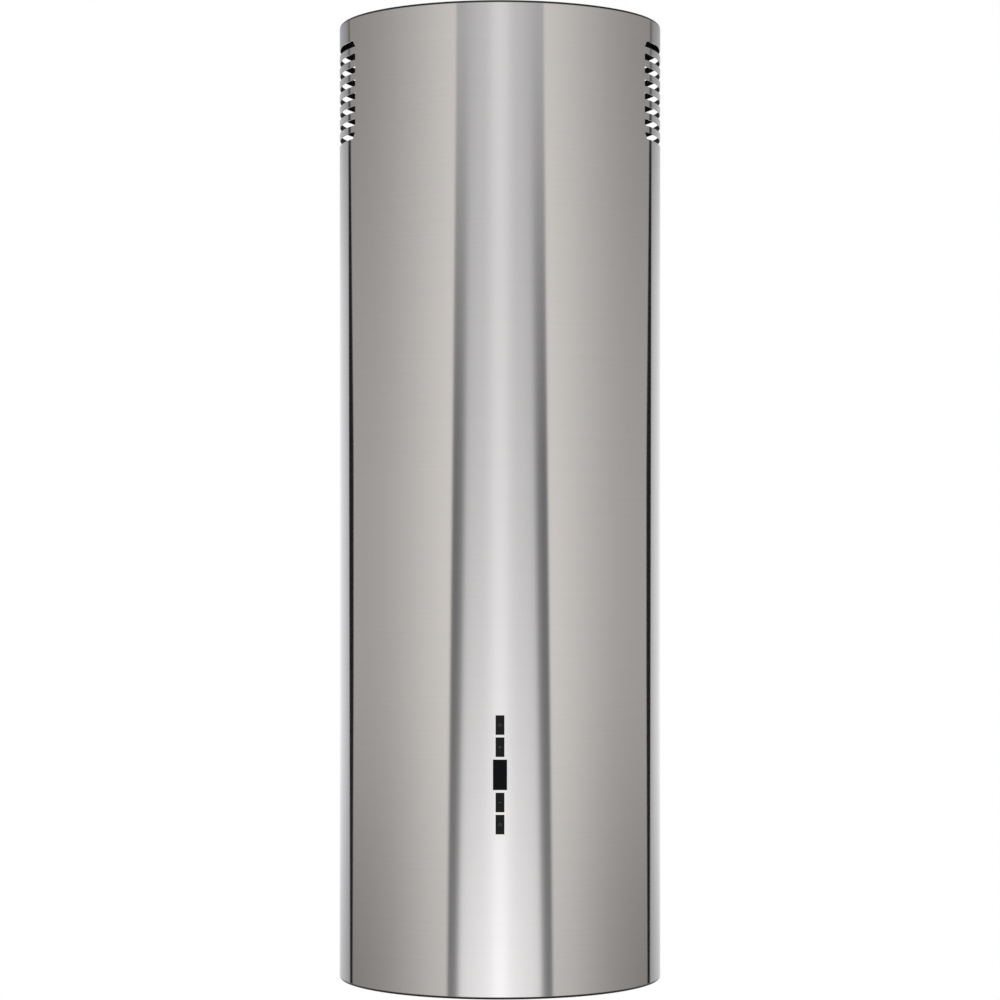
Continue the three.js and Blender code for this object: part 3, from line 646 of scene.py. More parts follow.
    # second slot: the darkened steel for the inner faces, painted shade inside the tube
    me.materials.append(MAT["steel_inside_painted_shade"])
    for p in me.polygons:
        if p.center.xy.length < (R - 0.3) * MM and p.normal.dot(Vector((p.center.x, p.center.y, 0))) < 0:
            p.material_index = 1
    o = bpy.data.objects.new("cover_tube", me)
    scene.collection.objects.link(o)
    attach(o, "hood_body")
    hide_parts("outer_tube")


cover()


# ------------------------------------------------------------------ controls
LEVELS = [(0.0, 2.2), (0.0, 0.15), (0.05, -0.08), (0.18, -0.26), (0.38, -0.37), (0.6, -0.40), (1.3, -0.36), (2.3, -0.32)]  # inset and depth of a cap's rings


def controls():
    y = -R
    names = ["light", "plus", "minus", "timer"]
    for name, dz in zip(names, BUTTON_DZ):
        z = CONTROL_Z + dz
        b = Build()
        hw, hh = BUTTON_W / 2, BUTTON_H / 2
        # cap with a soft rim and a slightly dished face
        rings = [rounded(-hw + d, hw - d, -hh + d, hh - d, max(0.9 - d, 0.12), 5) for d, _ in LEVELS]
        v, f = [], []
        for ring, (_, yy) in zip(rings, LEVELS):
            v += [(p[0], y + yy, z + p[1]) for p in ring]
        n = len(ring)
        for s in range(len(LEVELS) - 1):
            for i in range(n):
                j = (i + 1) % n
                f.append([s * n + i, s * n + j, (s + 1) * n + j, (s + 1) * n + i])
        f.append(list(range(n)))
        f.append([(len(LEVELS) - 1) * n + i for i in reversed(range(n))])
        b.add(v, f)
        b.plate(rounded(-5.5, 5.5, z - 11.3, z + 11.3, 0.8), y + 1.6, y + 2.8, bevel=0.2, axis="y")
        b.plate(rounded(-2, 2, z - 2, z + 2, 0.5), y + 2.7, y + 6.1, bevel=0.2, axis="y")
        b.obj(f"button_{name}_cap", "cap", f"{name}_button", "button_black", f"button_{name}", angle=60)
        i = Build()
        y0, y1 = y - 0.375, y - 0.20
        if name == "light":
            i.plate(circle(1.5, 28, 0, z), y0, y1, [circle(1.12, 28, 0, z)], 0.04, "y")
            for k in range(6):
                a = math.radians(60 * k)
                c, s = math.cos(a), math.sin(a)
                i.plate([(c * p - s * q, z + s * p + c * q) for p, q in ((1.85, -0.17), (2.45, -0.17), (2.45, 0.17), (1.85, 0.17))], y0, y1, (), 0.04, "y")
        elif name in ("plus", "minus"):
            w, t = 1.75, 0.24
            if name == "plus":
                i.plate([(-w, z - t), (-t, z - t), (-t, z - w), (t, z - w), (t, z - t), (w, z - t), (w, z + t), (t, z + t), (t, z + w), (-t, z + w), (-t, z + t), (-w, z + t)], y0, y1, (), 0.04, "y")
            else:
                i.plate([(-w, z - t), (w, z - t), (w, z + t), (-w, z + t)], y0, y1, (), 0.04, "y")
        else:
            i.plate(circle(1.9, 32, 0, z), y0, y1, [circle(1.5, 32, 0, z)], 0.04, "y")
            i.plate([(-0.17, z - 0.17), (1.0, z - 0.17), (1.0, z + 0.17), (0.17, z + 0.17), (0.17, z + 1.15), (-0.17, z + 1.15)], y0, y1, (), 0.04, "y")
        i.obj(f"button_{name}_icon", "icon", f"{name}_button", "button_black", angle=40)
    z = CONTROL_Z
    b = Build()
    b.plate(rounded(-DISPLAY_W / 2, DISPLAY_W / 2, z - DISPLAY_H / 2, z + DISPLAY_H / 2, 0.6), y - 0.1, y + 2.2, bevel=0.22, axis="y")
    b.plate(rounded(-8.6, 8.6, z - 17.6, z + 17.6, 0.8), y + 1.7, y + 3.0, bevel=0.2, axis="y")
    b.obj("display_pane", "display", "hood_body", "display_glass", "display_window", angle=40)
    keep("control_housing", "black", 0.35)
    keep("control_board", "board", 0.12, 1)


controls()


# ------------------------------------------------------------------ underside: panel, lamps
def underside():
    b = Build()
    lamps = [(0, -149), (149, 0), (0, 149), (-149, 0)]
    b.plate(circle(181.9, 160), PANEL_LOW, PANEL_LOW + PANEL_T, [rounded(-116, 116, -116, 116, 3)] + [circle(27, 48, x, y) for x, y in lamps], 0.2)
    prof = [(180.9, PANEL_LOW + 0.6), (181.9, PANEL_LOW + 0.6), (181.9, PANEL_LOW + 21.6), (181.7, PANEL_LOW + 22), (181.1, PANEL_LOW + 22), (180.9, PANEL_LOW + 21.6)]
    b.lathe(prof, 160)
    for s in (-1, 1):
        x0, x1 = sorted((s * 117.5, s * 119.5))
        ear = rounded(101, 115, PANEL_LOW + PANEL_T - 0.4, FILTER_Z + 6, 2.2)
        b.plate(ear, x0, x1, [circle(2.35, 24, 108, FILTER_Z)], 0.2, "x")
    b.obj("bottom_pan", "steel_flat", "hood_body", "brushed_steel", "bottom_panel")
    for name, (x, y) in zip(("front", "right", "rear", "left"), lamps):
        z = PANEL_LOW
        b = Build()
        prof = [(22, -0.5), (22, -1.2), (22.25, -1.8), (22.8, -2.15), (23.5, -2.2), (28.2, -2.2), (28.9, -2.05), (29.5, -1.6), (29.8, -1.0), (29.8, -0.4), (29.6, -0.3), (26.6, -0.3), (26.6, 18), (24.8, 18), (24.8, -0.4), (22.1, -0.4)]
        b.lathe([(r, z + h) for r, h in prof], 96, at=(x, y, 0))
        b.obj(f"lamp_ring_{name}", "chrome", "hood_body", "chrome_trim", f"lamp_bezel_{name}", angle=50)
        b = Build()
        prof = [(0, 0.35), (6, 0.3)]
        for k in range(6):  # faint rings moulded into the diffuser
            r = 7.0 + 2.2 * k
            prof += [(r, 0.28 - 0.02 * k), (r + 0.5, 0.46 - 0.02 * k), (r + 1.3, 0.46 - 0.02 * k), (r + 1.8, 0.26 - 0.02 * k)]
        prof += [(21.2, 0.0), (24.0, -0.05), (24.3, 0.25), (24.3, 2.6), (0, 2.6)]
        b.lathe([(r, z + h) for r, h in prof], 72, at=(x, y, 0))
        b.obj(f"lamp_glass_{name}", "lens", "hood_body", "lamp_diffuser", f"lamp_lens_{name}", angle=50)
        b = Build()
        prof = [(0, 3), (24.0, 3), (24.3, 3.3), (24.3, 6)]
        for k in range(6):
            h = 7.0 + 3.1 * k
            prof += [(21.4, h - 0.2), (21.4, h + 1.2), (24.2 - 0.2 * k, h + 1.4), (24.2 - 0.2 * k, h + 2.6)]
        prof += [(20, 30), (8.3, 30), (8, 30.3), (8, 35.6), (7.6, 36), (0, 36)]
        b.lathe([(r, z + h) for r, h in prof], 64, at=(x, y, 0))
        b.obj(f"lamp_can_{name}", "cast", "hood_body", "cast_aluminium", f"lamp_body_{name}")


underside()


# ------------------------------------------------------------------ grease filter
def zigzag(b, x0, x1, y0, y1, z, cell, step, width, thick, blocked, wave=0.0, across=False):
    """One layer of expanded metal: zigzag strands that meet their neighbours at every bend."""
    n_y = int((y1 - y0) / step)
    m = int((x1 - x0) / (cell / 2))
    shape = [(-width / 2, -thick / 2), (width / 2, -thick / 2 * 0.4), (width / 2, thick / 2), (-width / 2, thick / 2 * 0.4)]
    for k in range(n_y):
        cy = y0 + step * (k + 0.5)
        run = []
        for i in range(m + 1):
            x = x0 + cell / 2 * i
            up = 1 if (i + k) % 2 else -1
            y = cy + up * (step / 2 - width * 0.35)
            p = (x, y, z + 0.12 * up + wave * math.sin(x * 0.32 + k * 0.21))
            q = (p[1], p[0], p[2]) if across else p
            if any(c0 <= q[0] <= c1 and d0 <= q[1] <= d1 for c0, c1, d0, d1 in blocked):
                if len(run) > 1:
                    b.bar(run, shape)
                run = []
            else:
                run.append(q)
        if len(run) > 1:
            b.bar(run, shape)


def grease_filter():
    z = FILTER_Z
    H2 = 114.0
    b = Build()
    ring = rounded(-H2, H2, -H2, H2, 3.5, 6)
    b.plate(ring, z - 5, z - 4.2, [rounded(-101, 101, -101, 101, 2)], 0.25)
    b.plate(ring, z + 4.2, z + 5, [rounded(-101, 101, -101, 101, 2)], 0.25)
    b.plate(ring, z - 4.9, z + 4.9, [rounded(-112.5, 112.5, -112.5, 112.5, 2.2)], 0.2)
    for s in (-1, 1):
        x0, x1 = sorted((s * 105.2, s * 113.8))
        b.plate(rounded(103.2, 113.8, z - 4.6, z + 4.6, 0.8), x0, x1, [circle(2.35, 20, 108, z)], 0.15, "x")
    # latch pocket: floor, lid, side cheeks, and the spring's seat
    b.plate(rounded(-35, 35, -H2, -71, 1.5), z - 5, z + 0.1, [rounded(-12.6, 12.6, -99.2, -88.8, 0.8)], 0.3)
    b.plate(rounded(-35, 35, -H2, -71, 1.5), z + 3.1, z + 5, (), 0.3)
    for s in (-1, 1):
        x0, x1 = sorted((s * 20.5, s * 34.8))
        b.box(x0, x1, -113.6, -71.2, z - 0.2, z + 3.4, 0.2)
    b.box(-20.6, 20.6, -79.6, -71.2, z - 0.2, z + 3.4, 0.2)
    b.obj("filter_rim", "aluminium", "filter", "filter_aluminium", "filter_frame", angle=35)
    block = [(-35.8, 35.8, -H2, -70.2), (-H2, -104.2, 102.2, H2), (104.2, H2, 102.2, H2)]
    a = 112.0
    b = Build()
    zigzag(b, -a, a, -a, a, z - 3.5, 11.2, 5.2, 1.15, 0.5, block)
    b.obj("filter_face_weave", "aluminium", "filter", "filter_aluminium", "filter_face_mesh", angle=30)
    b = Build()
    zigzag(b, -a, a, -a, a, z - 1.5, 16.0, 7.4, 1.3, 0.5, [(c - 1, d + 1, e - 1, g + 1) for c, d, e, g in block], 0.5, True)
    zigzag(b, -a, a, -a, a, z + 0.1, 14.0, 6.4, 1.4, 0.5, block, 0.45)
    zigzag(b, -a, a, -a, a, z + 1.7, 16.0, 7.0, 1.3, 0.5, block, 0.4, True)
    b.obj("filter_core_layers", "aluminium", "filter", "filter_aluminium", "filter_core", angle=30)
    b = Build()
    zigzag(b, -a, a, -a, a, z + 3.5, 11.2, 5.2, 1.15, 0.5, block)
    b.obj("filter_back_weave", "aluminium", "filter", "filter_aluminium", "filter_back_mesh", angle=30)
    b = Build()
    b.plate(rounded(-20, 20, -119.2, -92.4, 1.2), z + 0.6, z + 2.6, (), 0.25)
    for s in (-1, 1):
        x0, x1 = sorted((s * 6, s * 12))
        b.box(x0, x1, -98.6, -95.2, z - 6.5, z + 1, 0.25)
    # handle: a cranked strip with a rolled grip
    prof = [(-100, -7.2), (-99.6, -7.6), (-84.5, -7.6), (-82.6, -8.2), (-82.0, -9.4), (-81.8, -10.2), (-81.0, -10.6), (-80.2, -10.2), (-80.0, -9.2), (-80.3, -7.0), (-81.6, -5.7), (-83, -5.4), (-99.6, -5.4), (-100, -5.8)]
    b.plate([(p, z + q) for p, q in prof], -28, 28, (), 0.35, "x")
    b.obj("filter_handle", "chrome", "latch", "chrome_trim", "filter_latch", angle=40)
    for side, s in (("left", -1), ("right", 1)):
        b = Build()
        x0, x1 = sorted((s * 107.4, s * 121.2))
        b.lathe([(0, x0), (1.7, x0), (2.0, x0 + 0.4), (2.0, x1 - 0.4), (1.7, x1), (0, x1)], 24, "x", (0, 108, z))
        b.obj(f"pivot_pin_{side}", "ground", "filter", "steel_shaft", f"filter_pivot_pin_{side}")
    # return spring: round wire wound into seven turns, the end turns closed up
    front, rear, coil, wire, sides, steps = -91.6, -80.6, 1.9, 0.34, 10, 252
    v, f = [], []
    for i in range(steps + 1):
        turn = 7.0 * i / steps
        far = 0.75 * min(turn, 1.0) + (rear - front - 1.5) * min(max(turn - 1.0, 0.0), 5.0) / 5 + 0.75 * max(turn - 6.0, 0.0)
        a = 2 * math.pi * turn
        out = Vector((math.cos(a), 0, math.sin(a)))
        side = Vector((0, 1, 0))
        c = Vector((0, front + far, z + 1.4)) + out * coil
        for k in range(sides):
            t = 2 * math.pi * k / sides
            v.append(tuple(c + (out * math.cos(t) + side * math.sin(t)) * wire))
    for i in range(steps):
        for k in range(sides):
            m = (k + 1) % sides
            f.append([i * sides + k, i * sides + m, (i + 1) * sides + m, (i + 1) * sides + k])
    f.append(list(range(sides)))
    f.append([steps * sides + k for k in reversed(range(sides))])
    b = Build()
    b.add(v, f)
    o = b.obj("return_spring", "spring", "filter", "spring_steel", "latch_spring", angle=50)
    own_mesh(o)


grease_filter()


# ------------------------------------------------------------------ ceiling plate, posts, deck
def ceiling_frame():
    b = Build()
    holes = [circle(110, 120)] + [slot(150 * math.cos(a), 150 * math.sin(a), 6, 4.1, a + math.pi / 2) for a in (0, math.pi / 2, math.pi, 1.5 * math.pi)]
    b.plate(circle(181.5, 160), -3, 0, holes, 0.4)
    b.lathe([(108.9, -3.0), (110.0, -3.0), (110.6, -2.6), (110.6, -0.4), (110.0, 0.0), (109.4, -0.2), (109.0, -1.0)], 120)
    b.obj("ceiling_ring", "galvanised", "hood_body", "galvanised_steel", "ceiling_plate")
    for c in ("rr", "rl", "fl", "fr"):
        keep(f"upper_post_{c}", "galvanised", 0.5)
        keep(f"lower_post_{c}", "galvanised", 0.5)
        keep(f"post_bolt_{c}", "zinc", 0.3)
    keep("blower_deck", "galvanised", 0.5)


ceiling_frame()


# ------------------------------------------------------------------ duct collar, flaps, electrics
def outlet():
    b = Build()
    z = BASE
    b.plate(rounded(-88, 88, -82, 82, 5, 6), z, z + 2.5, [circle(71.5, 96)], 0.4)
    prof = [(71.5, z + 0.4), (73.6, z + 0.4), (74, z + 3.4), (74, z + 20), (74, z + 46), (73.6, z + 58.6), (73.2, z + 59.8), (72.6, z + 60), (71.8, z + 59.7), (71.5, z + 59)]
    b.lathe(prof, 128)
    for k in range(8):  # gussets between the base and the collar
        a = math.radians(22.5 + 45 * k)
        m = Matrix.Rotation(a, 4, "Z")
        if k in (0, 3, 4, 7):
            b.plate([(73.5, z + 2.2), (81, z + 2.2), (81, z + 3.4), (73.5, z + 12)], -1, 1, (), 0.2, "y", m)
    for x, y in ((-81, -75), (81, -75), (-81, 75), (81, 75)):
        b.lathe([(2.0, z + 2.4), (5.2, z + 2.4), (5.2, z + 3.6), (4.8, z + 4.0), (2.0, z + 4.0)], 32, at=(x, y, 0))
    b.obj("collar_ring", "black", "hood_body", "black_plastic", "outlet_collar")
    b = Build()
    b.lathe([(0, -75), (1.2, -75), (1.5, -74.6), (1.5, 74.6), (1.2, 75), (0, 75)], 24, "x", (0, 0, PIN_Z))
    b.obj("damper_rod", "ground", "hood_body", "steel_shaft", "damper_pin")
    for name, s, spans in (("front", -1, [(-42, -26), (26, 42)]), ("rear", 1, [(-62, -46), (-8, 8), (46, 62)])):
        r, edge = 69.3, 4.4
        a0 = math.asin(edge / r)
        pts = [(r * math.cos(a0 + (math.pi - 2 * a0) * i / 48), s * r * math.sin(a0 + (math.pi - 2 * a0) * i / 48)) for i in range(49)]
        b = Build()
        b.plate(pts, PIN_Z - 0.75, PIN_Z + 0.75, (), 0.2)
        rim = [(p[0] * 0.93, p[1] * 0.93, PIN_Z + 0.9) for p in pts[2:-2]]
        b.bar(rim, [(-0.7, -0.5), (0.7, -0.5), (0.5, 0.6), (-0.5, 0.6)])
        for x in (-34, 0, 34):
            y1 = s * (math.sqrt((r * 0.9) ** 2 - x * x))
            lo, hi = sorted((s * 8.0, y1))
            b.box(x - 0.8, x + 0.8, lo, hi, PIN_Z + 0.5, PIN_Z + 1.7, 0.25)
        for x0, x1 in spans:
            b.lathe([(1.9, x0), (3.3, x0), (3.6, x0 + 0.3), (3.6, x1 - 0.3), (3.3, x1), (1.9, x1)], 32, "x", (0, 0, PIN_Z))
            lo, hi = sorted((s * 2.6, s * 6.5))
            b.box(x0 + 0.2, x1 - 0.2, lo, hi, PIN_Z - 0.75, PIN_Z + 0.75, 0.1)
        b.obj(f"flap_{name}", "black", f"damper_{name}", "black_plastic", f"damper_flap_{name}")


outlet()


def electrics():
    z = BASE
    keep("electronics_box", "grey", 0.8)
    b = Build()
    b.plate(rounded(-60, 60, z, z + 104, 3, 5), -121.8, -119.8, bevel=0.5, axis="y")
    for k in range(9):
        b.box(-34, 34, -122.3, -121.6, z + 30 + 5.4 * k, z + 32.4 + 5.4 * k, 0.25)
    b.box(-57.6, 57.6, -120, -117, z + 2.4, z + 4.4, 0.2)
    b.box(-57.6, 57.6, -120, -117, z + 99.6, z + 101.6, 0.2)
    turn = Matrix(((1, 0, 0, 0), (0, 0, 1, -121.8), (0, -1, 0, 0), (0, 0, 0, 1)))
    for x, zz in ((-54, z + 7), (54, z + 7), (-54, z + 97), (54, z + 97)):
        s = Build()
        s.screw(0, 0, 0, 3.0, 1.6, -1)
        b.add(s.v, s.f, Matrix.Translation((x, 0, zz)) @ turn)
    b.obj("electronics_lid", "grey", "hood_body", "grey_plastic", "electronics_cover")
    b = Build()
    zg = z + 104
    b.lathe([(4, zg - 5), (5.9, zg - 5), (5.9, zg + 0.4), (4, zg + 0.4)], 32, at=(40, -102, 0))
    hexa = [(40 + 9.9 * math.cos(math.radians(60 * k + 30)), -102 + 9.9 * math.sin(math.radians(60 * k + 30))) for k in range(6)]
    b.plate(hexa, zg + 0.3, zg + 7, [circle(5, 24, 40, -102)], 0.5)
    prof = [(4, zg + 6.8), (7.6, zg + 6.8), (7.6, zg + 8.2), (7.2, zg + 8.6)]
    for k in range(4):
        prof += [(7.2 - 0.1 * k, zg + 9.0 + 1.3 * k), (6.8 - 0.1 * k, zg + 9.6 + 1.3 * k)]
    prof += [(6.6, zg + 14.4), (6.2, zg + 15.8), (5.6, zg + 16.0), (4, zg + 16.0)]
    b.lathe(prof, 40, at=(40, -102, 0))
    b.obj("cord_gland", "black", "hood_body", "black_plastic", "mains_gland")
    b = Build()
    b.box(-45, 45, 88, 116, z, z + 24, 1.6, 3)
    for k in range(11):
        b.box(-36 + 7.2 * k - 1.2, -36 + 7.2 * k + 1.2, 88.6, 115.4, z + 23.6, z + 24.3, 0.2)
    for s in (-1, 1):
        x0, x1 = sorted((s * 44, s * 54))
        b.plate(rounded(x0, x1, 92, 112, 2.5), z, z + 2, [circle(2.2, 20, s * 49.6, 102)], 0.3)
    b.obj("led_driver_case", "white", "hood_body", "white_plastic", "led_driver")
    b = Build()
    c = (104, 0, z + 14.4)
    prof = [(0, -34), (12.6, -34), (13.6, -33.6), (14, -32.6), (14, 31), (13.4, 32.2), (13.6, 33.2), (13.0, 34), (9.4, 34.2), (9, 35), (9, 39.4), (8.4, 40), (0, 40)]
    b.lathe(prof, 56, "y", c)
    b.obj("run_capacitor", "white", "hood_body", "white_plastic", "motor_capacitor")


electrics()


# ------------------------------------------------------------------ blower
def blower():
    ox, oy, oz = BLOWER
    wall_y = 86.0 * math.cos(math.radians(80))

    def scroll(off, top, steps=72):
        start = math.acos((wall_y + off) / (86 + off))
        pts = [(wall_y + off, top)]
        for i in range(steps + 1):
            a = start + (-math.pi - start) * i / steps
            share = max(0.0, (math.radians(80) - a) / (math.radians(80) + math.pi))
            r = 86 + off + (125 - 86) * share
            pts.append((r * math.cos(a), r * math.sin(a)))
        pts.append((-(125 + off), top))
        return [(oy + p, oz + q) for p, q in pts]

    out, inn = scroll(2.5, 150), scroll(0, 150)
    for name, s in (("left", -1), ("right", 1)):
        b = Build()
        x0, x1 = sorted((s * 75.0, s * 77.5))
        b.plate(out, x0, x1, [circle(66, 96, oy, oz)], 0.5, "x")
        # the curved wall: the strip between the outer and the inner outline
        v, f = [], []
        xa, xb = (-76.0, -0.15) if s < 0 else (0.15, 76.0)
        n = len(out)
        for p in (out, inn):
            for x in (xa, xb):
                v += [(x, q[0], q[1]) for q in p]
        for i in range(n - 1):
            j = i + 1
            f += [[i, j, n + j, n + i], [2 * n + i, 3 * n + i, 3 * n + j, 2 * n + j], [i, 2 * n + i, 2 * n + j, j], [n + i, n + j, 3 * n + j, 3 * n + i]]
        for i in (0, n - 1):
            f.append([i, n + i, 3 * n + i, 2 * n + i])
        b.add(v, f)
        # mouth flange
        fx = (-85.5, -0.15) if s < 0 else (0.15, 85.5)
        y0, y1 = oy - 135, oy + wall_y + 10
        hole = rounded(max(fx[0], -75.2) if s < 0 else -1, 1 if s < 0 else min(fx[1], 75.2), oy - 124.9, oy + wall_y - 0.1, 0.2)
        zt = oz + 150
        b.box(fx[0], fx[1], y0, oy - 124.8, zt - 2.5, zt, 0.4)
        b.box(fx[0], fx[1], oy + wall_y, y1, zt - 2.5, zt, 0.4)
        ex = (-85.5, -74.9) if s < 0 else (74.9, 85.5)
        b.box(ex[0], ex[1], y0, y1, zt - 2.5, zt, 0.4)
        lip = [(66, x0), (67.2, x0), (67.6, x0 + 0.3)] if s < 0 else [(66, x1), (67.2, x1), (67.6, x1 - 0.3)]
        b.obj(f"scroll_half_{name}", "grey", "hood_body", "grey_plastic", f"scroll_{name}")

    b = Build()
    b.lathe([(67, -82), (74, -82), (74, -78.2), (73.6, -77.8), (67.4, -77.8), (67, -78.2)], 96, "x", (0, oy, oz))
    b.lathe([(43, -82), (47.5, -82), (47.5, -72), (43, -72)], 64, "x", (0, oy, oz))
    for k in range(4):
        m = Matrix.Translation((0, oy, oz)) @ Matrix.Rotation(math.radians(90 * k), 4, "X")
        b.box(-82, -77.8, -4.5, 4.5, 46, 69, 0.8, 3, m)
        b.box(-81.2, -78.6, -1.0, 1.0, 46, 69, 0.4, 2, m)
    b.obj("motor_spider", "black", "hood_body", "black_plastic", "motor_bracket")
    b = Build()
    prof = [(0, -90), (10, -90), (11, -89.4), (33, -89.4), (34.6, -89), (41.2, -84.6), (42, -83.4)]
    for k in range(10):
        h = -80 + 5.6 * k
        prof += [(42, h), (41.2, h + 0.5), (41.2, h + 1.5), (42, h + 2.0)]
    prof += [(42, -23), (41.4, -21.6), (35, -16.6), (33.4, -16), (12.6, -16), (12, -15.6), (12, -11.6), (11.4, -11), (4.5, -11), (4.5, -84), (0, -84)]
    b.lathe(prof, 72, "x", (0, oy, oz))
    b.obj("motor_can", "cast", "hood_body", "cast_aluminium", "motor_casing")
    b = Build()
    for r0, r1 in ((67, 74), (52, 54.5), (37, 39.5)):
        b.lathe([(r0, 77.9), (r0 + 0.4, 77.8), (r1 - 0.4, 77.8), (r1, 78.2), (r1, 79.8), (r1 - 0.4, 80.2), (r0 + 0.4, 80.2), (r0, 79.8)], 96, "x", (0, oy, oz))
    b.lathe([(0, 77.8), (15.6, 77.8), (16, 78.2), (16, 79.6), (15.0, 80.2), (0, 80.2)], 48, "x", (0, oy, oz))
    for k in range(3):
        m = Matrix.Translation((0, oy, oz)) @ Matrix.Rotation(math.radians(7.5 + 120 * k), 4, "X")
        b.box(77.8, 80.2, -2.2, 2.2, 14, 69, 0.6, 2, m)
    b.obj("inlet_grille", "black", "hood_body", "black_plastic", "inlet_guard")

    b = Build()
    b.lathe([(4.3, -8), (13.4, -8), (14, -7.4), (16, -1.8), (17, -1.5), (74, -1.5), (74, 1.5), (17, 1.5), (16, 1.8), (14, 7.4), (13.4, 8), (4.3, 8)], 72, "x", (0, oy, oz))
    for x0, x1 in ((-48.5, -46.5), (46.5, 48.5)):
        b.lathe([(64.6, x0 + 0.3), (65, x0), (75.6, x0), (76, x0 + 0.4), (76, x1 - 0.4), (75.6, x1), (65, x1), (64.6, x1 - 0.3)], 96, "x", (0, oy, oz))
    for k in range(24):
        pts, back = [], []
        for i in range(6):
            r = 65.2 + 10.0 * i / 5
            t = math.radians(15 * k + 4 * (i / 5) ** 1.7)
            pts.append((r * math.cos(t), r * math.sin(t)))
            w = 1.6 - 0.5 * abs(i / 5 - 0.5)
            back.append((r * math.cos(t) - w * math.sin(t), r * math.sin(t) + w * math.cos(t)))
        m = Matrix.Translation((0, oy, oz))
        b.plate(pts + back[::-1], -47, 47, (), 0.15, "x", m)
    b.obj("fan_wheel", "wheel", "impeller_wheel", "black_plastic", "impeller")
    b = Build()
    b.lathe([(0, -83.5), (3.4, -83.5), (4, -82.9), (4, 17.4), (3.4, 18), (0, 18)], 40, "x", (0, oy, oz))
    b.obj("fan_shaft", "ground", "impeller_wheel", "steel_shaft", "motor_shaft")


blower()


